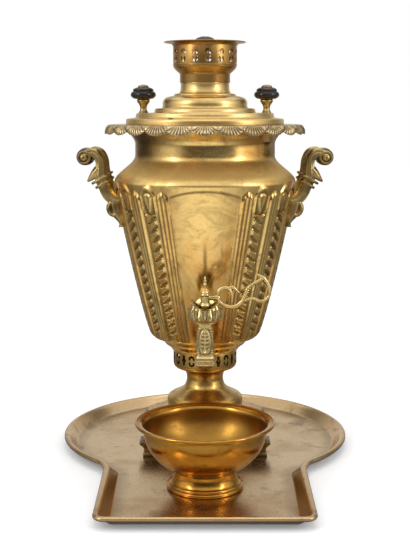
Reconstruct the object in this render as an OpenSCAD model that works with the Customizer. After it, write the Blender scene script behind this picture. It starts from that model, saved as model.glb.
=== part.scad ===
// Charcoal samovar with a tap, on its keyhole tray with a drip bowl.
// Millimetres. +Z is up, -Y is the tap side, +X is right when facing the tap.
// The origin is on the tray's underside, below the samovar's axis.

/* [Tray] */
// Radius of the round part, over the rim
tray_r = 171.5; // [165:0.5:185]
// Half width of the front extension where it leaves the round part
tray_root_half = 112; // [104:1:120]
// Half width of the extension at its front edge
tray_front_half = 110; // [100:1:118]
// Distance from the samovar's axis to the front edge
tray_front = 293; // [275:1:320]
// Height of the rim
tray_rim_h = 14; // [10:0.5:18]
// Width of the sloping wall in plan
tray_slope_w = 16; // [11:0.5:20]
// Thickness of the tray's sheet
tray_t = 1.6; // [1.2:0.1:2.4]
// Width of the rolled bead round the rim
tray_bead_w = 3; // [2:0.2:4]

/* [Drip bowl] */
// Distance of the bowl's axis in front of the samovar's axis
bowl_y = 170; // [165:1:180]
// Radius over the turned-out lip
bowl_r = 74.6; // [68:0.2:78]
// Radius of the wall below the lip
bowl_wall_r = 66; // [60:0.5:70]
// Height of the lip above the tray's floor
bowl_h = 72.8; // [66:0.2:76]
// Height of the foot
bowl_foot_h = 16; // [12:0.5:20]
// Radius of the foot
bowl_foot_r = 41.4; // [36:0.2:46]
// Thickness of the bowl's sheet
bowl_t = 1.6; // [1.2:0.1:2.4]

/* [Base] */
// Half width of the square plinth
plinth_half = 72; // [68:0.5:76]
// Height of the corner feet
foot_h = 18.4; // [14:0.2:24]
// Side of a corner foot at its top
foot_w = 26; // [20:0.5:32]
// Height of the plinth's lower plate
plate_h = 4.2; // [3:0.1:6]
// Height of the plinth's upper step
step_h = 5; // [3:0.1:8]
// Height of the sloping plinth top
plinth_rise = 17.6; // [12:0.2:24]
// Radius where the pedestal's dome meets the plinth
dome_r = 45.5; // [42:0.5:50]
// Smallest radius of the pedestal's stem
stem_r = 22; // [20:0.5:25]
// Height of the pedestal, dome and stem
pedestal_h = 44.8; // [38:0.2:52]
// Thickness of the base's sheet
base_t = 1.8; // [1.4:0.1:2.6]

/* [Air collar] */
// Outer radius of the pierced band
collar_r = 38.4; // [36:0.2:41]
// Height of the whole collar
collar_h = 23.2; // [20:0.2:28]
// Height of the straight pierced band
band_h = 15; // [13:0.2:18]
// Number of cut-outs round the band
band_holes = 22; // [16:2:26]
// Height of a cut-out
band_hole_h = 10.4; // [8:0.2:11]

/* [Vessel] */
// Radius of the wall at its lower edge
wall_low_r = 63; // [60:0.5:66]
// Radius of the shoulder
shoulder_r = 107; // [102:0.5:112]
// Smallest radius of the neck
neck_r = 82.4; // [78:0.4:86]
// Radius of the wall at its upper edge
wall_top_r = 92; // [90:0.4:95]
// Height of the floor pan below the wall
pan_h = 19.5; // [16:0.5:24]
// Height from the wall's lower edge to the shoulder
cone_h = 184; // [176:1:200]
// Height of the curved shoulder, from widest to neck
shoulder_h = 26; // [22:0.5:32]
// Height from the bottom of the neck to the wall's upper edge
neck_h = 38; // [34:0.5:44]
// Thickness of the wall
wall_t = 1.6; // [1.2:0.1:2.2]
// Height of the embossed ribs above the wall
rib_h = 2.4; // [1.2:0.1:3.2]
// Height of the embossed spoons above the wall
spoon_h = 2; // [1:0.1:3]
// Number of embossed columns round the wall
columns = 14; // [12:2:16]
// Half angle of the plain front panel at the shoulder
panel_top_a = 23; // [20:0.5:26]
// Half angle of the plain front panel at the lower edge
panel_low_a = 17.4; // [15:0.2:20]
// Half angle of a group of ribs
rib_half_a = 4.4; // [3:0.1:5]

/* [Fire tube] */
// Outer radius at the grate
tube_low_r = 35.5; // [33:0.5:37]
// Outer radius at the mouth
tube_top_r = 23.5; // [21:0.5:24]
// Thickness of the tube
tube_t = 1.5; // [1.2:0.1:2.4]
// Height of the mouth above the skirt
tube_rise = 44; // [42:0.5:50]
// Thickness of the grate
grate_t = 3; // [2:0.2:5]

/* [Skirt] */
// Radius over the scalloped edge
skirt_r = 118.4; // [112:0.4:124]
// Depth of a scallop below the ring's top
skirt_drop = 11; // [8:0.2:14]
// Number of scallops
scallops = 26; // [20:2:30]
// Thickness of the flat ring
skirt_t = 2.2; // [1.6:0.1:3]

/* [Lid] */
// Radius of the lowest tier
tier1_r = 92.8; // [91:0.2:96]
// Radius of the second tier
tier2_r = 81; // [79:0.5:86]
// Radius of the raised roll
roll_r = 49.4; // [46:0.2:54]
// Radius of the thin flange below the collar
flange_r = 36.2; // [34:0.2:40]
// Radius of the collar round the fire tube
sleeve_r = 28.8; // [28.4:0.2:31]
// Height of the lid up to the collar's seat
lid_h = 36.6; // [33:0.2:42]
// Height of the collar
sleeve_h = 11.6; // [9:0.2:14]
// Thickness of the lid's sheet
lid_t = 1.4; // [1.1:0.1:2]
// Distance of a knob's axis inside the second tier's edge
knob_inset = 8.7; // [7:0.1:11]
// Radius of a turned wood knob
knob_r = 14.8; // [12:0.2:17]
// Height of a turned wood knob
knob_h = 14.2; // [11:0.2:18]
// Height of a knob's stem
knob_stem_h = 15.4; // [12:0.2:20]

/* [Crown] */
// Radius of the pierced drum
drum_r = 37.2; // [35:0.2:40]
// Radius over the top flange
crown_r = 48; // [44:0.5:52]
// Height of the crown
crown_h = 46.8; // [42:0.2:52]
// Thickness of the crown's sheet
crown_t = 1.4; // [1.1:0.1:2]
// Number of cut-outs round the drum
crown_holes = 15; // [11:1:17]
// Height of a cut-out
crown_hole_h = 13.6; // [10:0.2:14.6]
// Height of the damper above the crown's flange
damper_rise = 6; // [2:0.5:12]
// Radius of the damper's knob
damper_knob_r = 11; // [8:0.5:14]

/* [Handles] */
// Distance from the axis to the grip's centre
grip_x = 140.4; // [136:0.4:146]
// Height of the grip's centre above the tray's underside
grip_z = 347; // [342:0.5:352]
// Radius of the wooden grip
grip_r = 10.4; // [8:0.2:12]
// Half distance between the two brackets of a handle
bracket_y = 26; // [22:0.5:32]
// Thickness of a bracket's boss
boss_w = 8; // [6:0.2:10]
// Radius of the spindle through the grip
spindle_r = 2.5; // [2:0.1:3.4]

/* [Tap] */
// Distance of the tap's turning axis from the samovar's axis
tap_y = 120; // [116:0.5:126]
// Height of the water passage above the tray's underside
tap_z = 180; // [176:0.5:186]
// Outer radius of the tap's housing
housing_r = 11; // [10:0.2:13]
// Radius of the plug at its middle
plug_r = 6.6; // [6:0.1:7.4]
// Radius of the water passage
water_r = 3; // [2.4:0.1:3.4]
// Taper of the plug, in radius per millimetre of height
plug_taper = 0.06; // [0.04:0.01:0.08]
// Running clearance between plug and housing
plug_gap = 0.05; // [0.03:0.01:0.09]
// Height of the spout's outlet above the tray's underside
spout_z = 123.4; // [118:0.2:128]
// Width of the spout at its outlet
spout_w = 20; // [18:0.2:23]
// Reach of the key's scroll from the turning axis
key_reach = 72; // [66:0.5:76]

/* [Hidden] */
// Clearance between loose pieces
loose = 0.3;
// Overshoot of a cut past the face it opens
cut = 1;
round_fn = 120;
small_fn = 48;
floor_z = tray_t;
plinth_z = floor_z + foot_h;
step_z = plinth_z + plate_h;
slope_z = step_z + step_h;
pedestal_z = slope_z + plinth_rise;
collar_z = pedestal_z + pedestal_h;
pan_z = collar_z + collar_h;
wall_z = pan_z + pan_h;
shoulder_z = wall_z + cone_h;
neck_z = shoulder_z + shoulder_h;
wall_top_z = neck_z + neck_h;
skirt_z = wall_top_z + skirt_t;
tube_top_z = skirt_z + tube_rise;
sleeve_z = skirt_z + lid_h;
crown_z = sleeve_z + sleeve_h;
crown_top_z = crown_z + crown_h;
knob_x = tier2_r - knob_inset;
// Places of the wall's points across one column, from rib to rib
column_samples = [0, 0.13, 0.27, 0.4, 0.6, 0.73, 0.87];
step_half = plinth_half - 8;
brass = "#c39a4a";
cast_brass = "#8f7a40";
bronze = "#9c8360";
silvery = "#a9a089";
dark_wood = "#1d1512";
sooty = "#4a4038";

// ---------------------------------------------------------------- helpers
function smooth(t) = let (c = min(1, max(0, t))) c * c * (3 - 2 * c);
function mix(a, b, t) = a + (b - a) * t;

// Radius of the vessel's plain wall at height z
function wall_r(z) =
  z < shoulder_z
    ? mix(wall_low_r, shoulder_r, pow(max(0, z - wall_z) / cone_h, 0.845))
    : mix(mix(shoulder_r, neck_r, smooth((z - shoulder_z) / shoulder_h)), wall_top_r,
          smooth((z - neck_z - neck_h * 0.3) / (neck_h * 0.5)));

// Point of a Catmull-Rom curve through p, between points i and i + 1
function curve_at(p, i, t) =
  let (a = p[max(0, i - 1)], b = p[i], c = p[min(len(p) - 1, i + 1)], d = p[min(len(p) - 1, i + 2)])
  0.5 * ((2 * b) + (c - a) * t + (2 * a - 5 * b + 4 * c - d) * t * t
         + (3 * b - a - 3 * c + d) * t * t * t);
function curve(p, steps) =
  concat([for (i = [0:len(p) - 2], s = [0:steps - 1]) curve_at(p, i, s / steps)], [p[len(p) - 1]]);

// Round bar swept along a curve in the X-Z plane; each point is [x, z, radius, half depth]
module bar(path, sides = 8) {
  n = len(path);
  rings = [for (i = [0:n - 1])
    let (a = path[max(0, i - 1)], b = path[min(n - 1, i + 1)],
         l = norm([b[0] - a[0], b[1] - a[1]]), t = [(b[0] - a[0]) / l, (b[1] - a[1]) / l])
    [for (k = [0:sides - 1]) let (w = 360 * k / sides)
      [path[i][0] - t[1] * path[i][2] * cos(w), path[i][3] * sin(w),
       path[i][1] + t[0] * path[i][2] * cos(w)]]];
  points = [for (r = rings, p = r) p];
  walls = [for (i = [0:n - 2], k = [0:sides - 1])
    let (a = i * sides + k, b = i * sides + (k + 1) % sides, c = a + sides, d = b + sides)
    each [[a, b, c], [b, d, c]]];
  start = [[for (k = [sides - 1:-1:0]) k]];
  end = [[for (k = [0:sides - 1]) (n - 1) * sides + k]];
  polyhedron(points, concat(walls, start, end), convexity = 6);
}

// Sheet turned round the Z axis: outline from an outer profile and one drawn in by t
module turned(profile, fn = round_fn) {
  rotate_extrude($fn = fn) polygon(profile);
}

// Copies turned round the Z axis
module around(n, phase = 0) {
  for (i = [0:n - 1]) rotate([0, 0, phase + 360 * i / n]) children();
}

module tube(r, wall, h, fn = round_fn) {
  difference() {
    cylinder(r = r, h = h, $fn = fn);
    translate([0, 0, -cut]) cylinder(r = r - wall, h = h + 2 * cut, $fn = fn);
  }
}

// Unit tangent of an outline at point i, and the sheet's other face to its left
function outline_t(p, i) =
  let (v = p[min(len(p) - 1, i + 1)] - p[max(0, i - 1)]) v / norm(v);
function left_of(p, i, t) = let (u = outline_t(p, i)) p[i] + t * [-u[1], u[0]];
// Closed outline of a sheet: its outer face going up, then its inner face coming down.
// A level end is cut flat, so that the next piece can seat on it.
function sheet(p, t, level_start = true, level_end = true) =
  let (n = len(p))
  concat(p, [for (i = [n - 1:-1:0])
    (i == 0 && level_start) || (i == n - 1 && level_end) ? p[i] - [t, 0] : left_of(p, i, t)]);
// Radius of the inside of a sheet's points, kept clear of the axis
function clear_axis(p) = [for (q = p) [max(0, q[0]), q[1]]];

// ---------------------------------------------------------------- tray
tray_bead_h = 2.4;
tray_edge_r = tray_r - tray_bead_w / 2;
tray_back = 100;

// Corners of the extension's outline, moved out by d and rounded with radius r
module tray_corners(d, r) {
  for (s = [-1, 1]) {
    translate([s * (tray_front_half + d - r), -(tray_front + d - r)]) circle(r = r, $fn = 32);
    translate([s * (tray_root_half + d - r), -tray_back]) circle(r = r, $fn = 32);
  }
}

module tray_plan(d) {
  circle(r = tray_r + d, $fn = round_fn);
  hull() tray_corners(d, 8);
}

// Filled tray up to height h, on the slope of its wall
module tray_form(h) {
  out = tray_slope_w * h / tray_rim_h - tray_slope_w;
  foot = tray_edge_r - tray_slope_w;
  cylinder(r1 = foot, r2 = tray_edge_r + out, h = h, $fn = round_fn);
  edge = tray_edge_r - tray_r;
  hull() {
    linear_extrude(0.01) tray_corners(edge - tray_slope_w, 3);
    translate([0, 0, h - 0.01]) linear_extrude(0.01) tray_corners(edge + out, 7);
  }
}

module tray() color(bronze) {
  difference() {
    tray_form(tray_rim_h);
    translate([0, 0, tray_t]) tray_form(tray_rim_h);
  }
  translate([0, 0, tray_rim_h - tray_bead_h]) linear_extrude(tray_bead_h) difference() {
    tray_plan(0);
    tray_plan(-tray_bead_w);
  }
}

// ---------------------------------------------------------------- drip bowl
bowl_lip_h = 8;
bowl_seat_r = 33;
bowl_mid_z = floor_z + bowl_h - bowl_lip_h;
bowl_low_z = floor_z + bowl_foot_h - 3.4;
// Height of the bowl's outer face at radius r
function bowl_z(r) = bowl_mid_z - (bowl_mid_z - bowl_low_z) * sqrt(1 - pow(r / bowl_wall_r, 2));

module drip_bowl() color(brass) translate([0, -bowl_y, 0]) {
  side = [for (a = [-90:7.5:0])
    [bowl_wall_r * cos(a), bowl_mid_z + (bowl_mid_z - bowl_low_z) * sin(a)]];
  lip = [[bowl_wall_r + 0.6, bowl_mid_z + 3], [bowl_wall_r + 2.6, bowl_mid_z + 5.4],
         [bowl_r - 2, bowl_mid_z + bowl_lip_h - bowl_t]];
  turned(clear_axis(sheet(concat(side, lip), bowl_t, false, false)));
  translate([0, 0, floor_z + bowl_h - bowl_t]) rotate_extrude($fn = round_fn)
    translate([bowl_r - bowl_t, 0]) circle(r = bowl_t, $fn = 24);
}

module drip_bowl_foot() color(brass) translate([0, -bowl_y, 0]) {
  top = bowl_z(bowl_seat_r) - 0.1;
  outer = [[bowl_foot_r - 1, floor_z], [bowl_foot_r, floor_z + 1.2], [bowl_foot_r, floor_z + 3.4],
           [bowl_foot_r - 2, floor_z + 4.8], [bowl_foot_r - 2.6, floor_z + 7],
           [bowl_foot_r - 6, floor_z + 12], [bowl_seat_r, top]];
  inner = [[bowl_seat_r - 2, bowl_z(bowl_seat_r - 2) - 0.1], [bowl_foot_r - 8.4, floor_z + 11],
           [bowl_foot_r - 4.4, floor_z + 5], [bowl_foot_r - 3.2, floor_z]];
  turned(concat(outer, inner));
}

// ---------------------------------------------------------------- base
foot_out = 4;
module base_foot() {
  a = foot_w / 2 * sqrt(2);
  rotate([0, 0, 45]) rotate_extrude($fn = 4) polygon([
    [0, 0], [a * 0.72, 0], [a * 0.74, foot_h * 0.1], [a * 0.6, foot_h * 0.3],
    [a * 0.66, foot_h * 0.55], [a * 0.92, foot_h * 0.78], [a, foot_h * 0.84],
    [a, foot_h], [0, foot_h]]);
}

module base_feet() color(cast_brass) {
  at = plinth_half + foot_out - foot_w / 2;
  for (x = [-1, 1], y = [-1, 1]) translate([x * at, y * at, floor_z]) base_foot();
}

module square_plate(half, chamfer) {
  polygon([for (q = [0:3], e = [0, 1])
    let (a = half, b = half - chamfer, p = e == 0 ? [a, -b] : [a, b])
    [p[0] * cos(90 * q) - p[1] * sin(90 * q), p[0] * sin(90 * q) + p[1] * cos(90 * q)]]);
}

module base_plinth() color(brass) {
  edge = 0.02;
  difference() {
    union() {
      translate([0, 0, plinth_z]) linear_extrude(plate_h) square_plate(plinth_half, 5);
      translate([0, 0, step_z]) linear_extrude(step_h) square_plate(step_half, 4);
      hull() {
        translate([0, 0, slope_z - edge]) linear_extrude(edge) square_plate(step_half - 2.5, 3);
        translate([0, 0, pedestal_z - edge]) cylinder(r = dome_r, h = edge, $fn = 64);
      }
    }
    translate([0, 0, plinth_z - cut]) linear_extrude(slope_z - plinth_z + cut - 2 * base_t)
      square_plate(step_half - base_t - 1, 4);
    hull() {
      translate([0, 0, slope_z - 2 * base_t - edge]) linear_extrude(edge)
        square_plate(step_half - base_t - 2.5, 3);
      translate([0, 0, pedestal_z - 2 * base_t]) cylinder(r = dome_r - base_t, h = edge, $fn = 64);
    }
    translate([0, 0, pedestal_z - 3 * base_t]) cylinder(r = dome_r - 4, h = 4 * base_t);
  }
}

module pedestal() color(brass) translate([0, 0, pedestal_z]) {
  h = pedestal_h;
  turned(sheet(curve([[dome_r, 0], [dome_r + 0.4, h * 0.1], [dome_r - 2, h * 0.25],
    [(dome_r + stem_r) / 2 - 1.5, h * 0.38], [stem_r + 3, h * 0.5], [stem_r + 0.3, h * 0.66],
    [stem_r, h * 0.76], [stem_r + 1.6, h * 0.89], [collar_r - 10.6, h * 0.965],
    [collar_r - 7.4, h]], 3), base_t));
}

// ---------------------------------------------------------------- air collar
band_z = collar_z + collar_h - band_h - 1;

// Cut-out like a pair of facing crescents, h high, in the X-Y plane
module crescents(h) {
  for (s = [-1, 1]) translate([0, s * h * 0.25]) difference() {
    circle(r = h * 0.25, $fn = 24);
    translate([0, -s * h * 0.14]) circle(r = h * 0.15, $fn = 24);
  }
}

// Upright slot with a rounded waist
module slot(h) {
  w = h * 0.26;
  square([w, h - w], center = true);
  circle(r = w * 0.85, $fn = 24);
  for (s = [-1, 1]) translate([0, s * (h - w) / 2]) circle(r = w / 2, $fn = 24);
}

// Prism cutting outwards through a wall at radius r, along -Y
module pierce(r, depth) {
  translate([0, -r + depth, 0]) rotate([90, 0, 0]) linear_extrude(2 * depth) children();
}

module air_collar() color(brass) {
  difference() {
    turned(sheet(concat(
      curve([[collar_r - 7.4, collar_z], [collar_r - 3, collar_z + 1.6],
        [collar_r - 0.6, collar_z + 4.4], [collar_r, collar_z + 7.2]], 3),
      [[collar_r, collar_z + collar_h]]), base_t));
    translate([0, 0, band_z + band_h / 2]) {
      around(band_holes / 2, 180 / band_holes) pierce(collar_r, 4) crescents(band_hole_h);
      around(band_holes / 2, -180 / band_holes) pierce(collar_r, 4) slot(band_hole_h);
    }
  }
}

lip_t = base_t;
grate_r = tube_low_r - tube_t - loose;
module ash_grate() color(sooty) translate([0, 0, pan_z + lip_t]) difference() {
  cylinder(r = grate_r, h = grate_t, $fn = small_fn);
  for (i = [-3:3]) let (x = i * grate_r / 4)
    translate([x - 1.8, -sqrt(pow(grate_r - 5, 2) - x * x), -cut])
      cube([3.6, 2 * sqrt(pow(grate_r - 5, 2) - x * x), grate_t + 2 * cut]);
}

// ---------------------------------------------------------------- vessel
module vessel_floor() color(brass) translate([0, 0, pan_z]) {
  h = pan_h;
  outer = concat([[tube_low_r - 5, 0]], curve([[collar_r + 1, 0], [collar_r + 2.6, h * 0.12],
    [wall_low_r * 0.74, h * 0.34], [wall_low_r * 0.8, h * 0.56], [wall_low_r * 0.9, h * 0.74],
    [wall_low_r - 0.6, h * 0.88], [wall_low_r, h]], 3));
  turned(sheet(outer, base_t, false, true));
}

// Wall's embossing. A column runs from rib to rib: f = 0 at a rib's middle, 0.5 mid column.
rungs = 12;
rung_low = 8;
rung_high = cone_h - 50;
rung_pitch = (rung_high - rung_low) / rungs;
rib_top = cone_h - 18;
arch_top = cone_h - 8;
wall_rows = concat([0, 3],
  [for (i = [0:2 * rungs]) rung_low + i * rung_pitch / 2],
  [for (d = [44, 34, 22, 15, 10, 5]) cone_h - d],
  [for (t = [0.05, 0.28, 0.5, 0.72, 1]) cone_h + shoulder_h * t],
  [for (t = [0.3, 0.55, 0.8, 1]) cone_h + shoulder_h + neck_h * t]);
function panel_a(h) = mix(panel_low_a, panel_top_a, min(1, h / cone_h));
function rib_form(f) = let (d = abs(f < 0.5 ? f : 1 - f))
  d < 0.05 ? 0.5 : d < 0.2 ? 1 : 0;
function spoon_form(f) = abs(f - 0.5) < 0.2 ? 1 : 0;
// Height of the embossing at fraction f of a column, h above the wall's lower edge
function emboss(f, h) =
  let (body = smooth((h - 1) / 5),
       rib = rib_form(f) * body * (1 - smooth((h - rib_top) / 12)),
       arch = arch_top - 10 * pow(abs(f - 0.5) / 0.2, 2),
       rung = (h > rung_low - 1 && h < rung_high + 1)
         ? 0.55 - 0.45 * cos(360 * (h - rung_low) / rung_pitch) : 0,
       head = smooth((h - rung_high) / 12) * (1 - smooth((h - arch) / 6)))
  rib_h * rib + spoon_h * spoon_form(f) * body * max(rung, head);
// Half of the wall's grid, going from the front round to the back: [column, fraction]
half_lines = [for (k = [0:columns / 2 - 1], f = column_samples) [k, f]];
// Middle of the rib group that borders the panel; its outer flank stands on the panel's edge
function first_rib_a(h) = panel_a(h) + rib_half_a;
function line_a(c, h) = first_rib_a(h) + (c[0] + c[1]) * (180 - first_rib_a(h)) / (columns / 2);
// One level ring of wall points, as [angle from the front, embossing]
function wall_ring(h) =
  let (f = column_samples[1], side = concat([[line_a([0, -f], h), emboss(f, h)]],
         [for (c = half_lines) [line_a(c, h), emboss(c[1], h)]]),
       panel = panel_a(h))
  concat([[0, 0], [panel * 0.5, 0], [panel * 0.97, 0]], side, [[180, emboss(0, h)]],
         [for (i = [len(side) - 1:-1:0]) [-side[i][0], side[i][1]]],
         [[-panel * 0.97, 0], [-panel * 0.5, 0]]);

module wall_form() {
  rings = [for (h = wall_rows) let (r = wall_r(wall_z + h)) [for (q = wall_ring(h))
    let (a = q[0] - 90, e = r + q[1]) [e * cos(a), e * sin(a), wall_z + h]]];
  n = len(rings[0]);
  m = len(rings);
  sides = [for (j = [0:m - 2], i = [0:n - 1])
    let (a = j * n + i, b = j * n + (i + 1) % n, c = a + n, d = b + n) each [[a, c, b], [b, c, d]]];
  bottom = [[for (i = [0:n - 1]) i]];
  top = [[for (i = [n - 1:-1:0]) (m - 1) * n + i]];
  polyhedron([for (r = rings, p = r) p], concat(sides, bottom, top), convexity = 8);
}

shank_r = 7.5;
module vessel_wall() color(brass) {
  levels = concat([for (t = [0:0.125:1]) wall_z + cone_h * t],
                  [for (t = [0.15:0.1:0.98]) shoulder_z + shoulder_h * t],
                  [for (t = [0.25:0.15:0.9]) neck_z + neck_h * t]);
  outer = [for (z = concat(levels, [wall_top_z])) [wall_r(z), z]];
  inner = [for (i = [0:len(outer) - 1]) left_of(outer, i, wall_t)];
  difference() {
    wall_form();
    rotate_extrude($fn = round_fn) polygon(concat(
      [[0, wall_z - cut], [wall_low_r - wall_t, wall_z - cut]], inner,
      [[wall_top_r - wall_t, wall_top_z + cut], [0, wall_top_z + cut]]));
    translate([0, 0, tap_z]) rotate([90, 0, 0])
      cylinder(r = shank_r + 0.1, h = wall_low_r + cone_h, $fn = small_fn);
  }
}

module fire_tube() color(sooty) {
  h = tube_top_z - pan_z - lip_t;
  translate([0, 0, pan_z + lip_t]) turned(sheet([[tube_low_r, 0], [tube_low_r - 0.4, h * 0.12],
    [mix(tube_low_r, tube_top_r, 0.3), h * 0.4], [mix(tube_low_r, tube_top_r, 0.75), h * 0.65],
    [tube_top_r, h * 0.8], [tube_top_r, h]], tube_t), 96);
}

// ---------------------------------------------------------------- skirt
skirt_in_r = tier2_r + loose + 0.1;
skirt_samples = 6;
// Section of the skirt at phase p of a scallop, from -1 to 1, with flute side s
function skirt_section(p, s) =
  let (drop = skirt_drop * (0.5 + 0.5 * sqrt(1 - min(1, p * p))), flute = 0.5 * s,
       out = skirt_r - 0.5 + flute)
  [[skirt_in_r, wall_top_z], [skirt_r - 7.5, wall_top_z], [skirt_r - 4.4 + flute, skirt_z - 4.4],
   [out - 1.8, skirt_z - drop], [out, skirt_z - drop], [skirt_r - 2.6 + flute, skirt_z - 3],
   [skirt_r - 5, skirt_z], [skirt_in_r, skirt_z]];

module rim_skirt() color(silvery) {
  n = scallops * skirt_samples;
  sections = [for (i = [0:n - 1])
    let (k = i % skirt_samples, a = 360 * i / n - 90)
    [for (q = skirt_section(2 * k / skirt_samples - 1, k % 2 == 0 ? -1 : 1))
      [q[0] * cos(a), q[0] * sin(a), q[1]]]];
  m = len(sections[0]);
  faces = [for (i = [0:n - 1], j = [0:m - 1])
    let (a = i * m + j, b = i * m + (j + 1) % m, c = ((i + 1) % n) * m + j,
         d = ((i + 1) % n) * m + (j + 1) % m) each [[a, b, c], [b, d, c]]];
  polyhedron([for (s = sections, p = s) p], faces, convexity = 6);
}

// ---------------------------------------------------------------- handles
// Everything is drawn for the right-hand handle and mirrored for the left.
module mirrored(side) {
  if (side < 0) mirror([1, 0, 0]) children();
  else children();
}

bracket_in = 0.3;
// Distance of the wall's crest from the Y-Z plane, at a bracket's inner face
function crest_x(z) = sqrt(pow(wall_r(z) + rib_h + bracket_in, 2) - pow(bracket_y - 4, 2));
arm_z = grip_z - 46;
module handle_bracket() {
  x = grip_x;
  z = grip_z;
  root = crest_x(arm_z);
  difference() {
    union() {
      bar(curve([[root + 0.2, arm_z, 4.8, 4], [root + 4.6, arm_z, 4.9, 4],
        [root + 11, arm_z + 2.6, 5.6, 4.2], [root + 16, arm_z + 8.8, 6.2, 4.4],
        [root + 19, arm_z + 16.5, 6.6, 4.6], [x - 17.6, z - 20, 8.2, 4.8],
        [x - 16, z - 12.5, 5.6, 4.4], [x - 15, z - 5.5, 4.9, 4.2], [x - 12.6, z + 2, 4.6, 4],
        [x - 7.2, z + 5.2, 4.6, 3.9], [x - 2.6, z + 3.6, 4.4, 3.9], [x, z, 4, 3.8]], 2));
      translate([x, boss_w / 2, z]) rotate([90, 0, 0]) cylinder(r = 7.3, h = boss_w, $fn = small_fn);
      for (s = [0, 1]) translate([root + 18 + 2.4 * s, 0, arm_z + 14 + 6.5 * s])
        rotate([0, 20, 0]) translate([0, 0, -1.4])
          cylinder(r = 9.2 - 0.4 * s, h = 2.8, $fn = small_fn);
      bar(curve([[root + 5.6, arm_z - 2, 3.4, 3.6], [crest_x(arm_z - 10) + 5, arm_z - 10, 4.8, 4],
        [crest_x(arm_z - 20) + 5.4, arm_z - 20, 5.2, 4], [crest_x(arm_z - 27) + 3, arm_z - 27, 2.6, 3],
        [crest_x(arm_z - 34) + 3.8, arm_z - 34, 3.6, 3.6]], 2));
    }
    translate([x, boss_w, z]) rotate([90, 0, 0])
      cylinder(r = spindle_r + 0.1, h = 2 * boss_w, $fn = small_fn);
  }
}

module handle_brackets(side) color(cast_brass) mirrored(side)
  for (y = [-1, 1]) translate([0, y * bracket_y, 0]) handle_bracket();

grip_l = 2 * bracket_y - boss_w;
module handle_grip(side) color(dark_wood) mirrored(side)
  translate([grip_x, grip_l / 2, grip_z]) rotate([90, 0, 0]) difference() {
    turned(concat([[0, 0]], curve([[grip_r - 3, 0], [grip_r - 2.2, 2], [grip_r - 0.8, 4],
      [grip_r - 1.8, 7], [grip_r, grip_l / 2], [grip_r - 1.8, grip_l - 7],
      [grip_r - 0.8, grip_l - 4], [grip_r - 2.2, grip_l - 2], [grip_r - 3, grip_l]], 3),
      [[0, grip_l]]), 64);
    translate([0, 0, -cut]) cylinder(r = spindle_r + 0.1, h = grip_l + 2 * cut, $fn = small_fn);
  }

module handle_spindle(side) color(cast_brass) mirrored(side) {
  half = bracket_y + boss_w / 2;
  translate([grip_x, half, grip_z]) rotate([90, 0, 0]) {
    cylinder(r = spindle_r, h = 2 * half, $fn = small_fn);
    for (s = [0, 1]) translate([0, 0, s * 2 * half]) mirror([0, 0, 1 - s]) rotate_extrude($fn = small_fn)
      polygon([[0, 0], [4.4, 0], [4.4, 0.8], [3.2, 2.2], [1.4, 3], [0, 3]]);
  }
}

// ---------------------------------------------------------------- tap
tap_wall_r = wall_r(tap_z);
housing_z = tap_z - 10.5;
seat_z = tap_z + 7.5;
plug_low = tap_z - 8.5;
function plug_at(z) = plug_r + plug_taper * (z - tap_z);
function leaf_r(k) = housing_r + k;

// Lean of the wall at the tap, so that the washer lies along it
tap_lean = atan((wall_r(tap_z + 5) - wall_r(tap_z - 5)) / 10);
module tap_washer() color(cast_brass) difference() {
  translate([0, -tap_wall_r - 0.1, tap_z]) rotate([90 + tap_lean, 0, 0])
    rotate_extrude($fn = small_fn)
      polygon([[0, 0], [12.5, 0], [12.5, 1], [10.5, 2.4], [9.6, 3.4], [0, 3.4]]);
  translate([0, 0, tap_z]) rotate([90, 0, 0]) cylinder(r = shank_r + 0.1, h = tap_y, $fn = small_fn);
}

cup_h = 26;
module tap_body() color(cast_brass) difference() {
  union() {
    translate([0, -tap_y, housing_z]) let (h = cup_h) turned(curve([[0.01, 0], [leaf_r(-2), 0],
      [leaf_r(2.6), h * 0.06], [leaf_r(5), h * 0.27], [leaf_r(5.4), h * 0.5],
      [leaf_r(3), h * 0.77], [leaf_r(1), h - 0.5], [leaf_r(-1), h],
      [leaf_r(-1), seat_z - housing_z], [0.01, seat_z - housing_z]], 1), 64);
    translate([0, 0, tap_z]) rotate([90, 0, 0]) translate([0, 0, tap_wall_r - 16])
      cylinder(r = shank_r, h = tap_y - tap_wall_r + 8, $fn = small_fn);
  }
  // Plug seat, drilled down to the spout
  translate([0, -tap_y, plug_low - 0.4])
    cylinder(r1 = plug_at(plug_low - 0.4) + plug_gap, r2 = plug_at(seat_z + cut) + plug_gap,
             h = seat_z + cut - plug_low + 0.4, $fn = small_fn);
  translate([0, -tap_y, housing_z - cut]) cylinder(r = water_r, h = 6, $fn = small_fn);
  // Water passage from the vessel
  translate([0, 0, tap_z]) rotate([90, 0, 0]) cylinder(r = water_r, h = tap_y, $fn = small_fn);
  // Gaps between the leaves of the cup
  translate([0, -tap_y, seat_z + 9]) around(9, 20) rotate([90, 0, 0])
    translate([0, 0, housing_r - 2]) cylinder(r = 1.6, h = 8, $fn = 24);
}

nut_r = 12;
nut_h = 4;
module tap_back_nut() color(brass) translate([0, 0, tap_z]) rotate([90, 0, 0])
  translate([0, 0, tap_wall_r - nut_h - nut_r * tan(tap_lean) - 3]) difference() {
    cylinder(r = nut_r, h = nut_h, $fn = 6);
    translate([0, 0, -cut]) cylinder(r = shank_r + 0.1, h = nut_h + 2 * cut, $fn = small_fn);
  }

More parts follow.
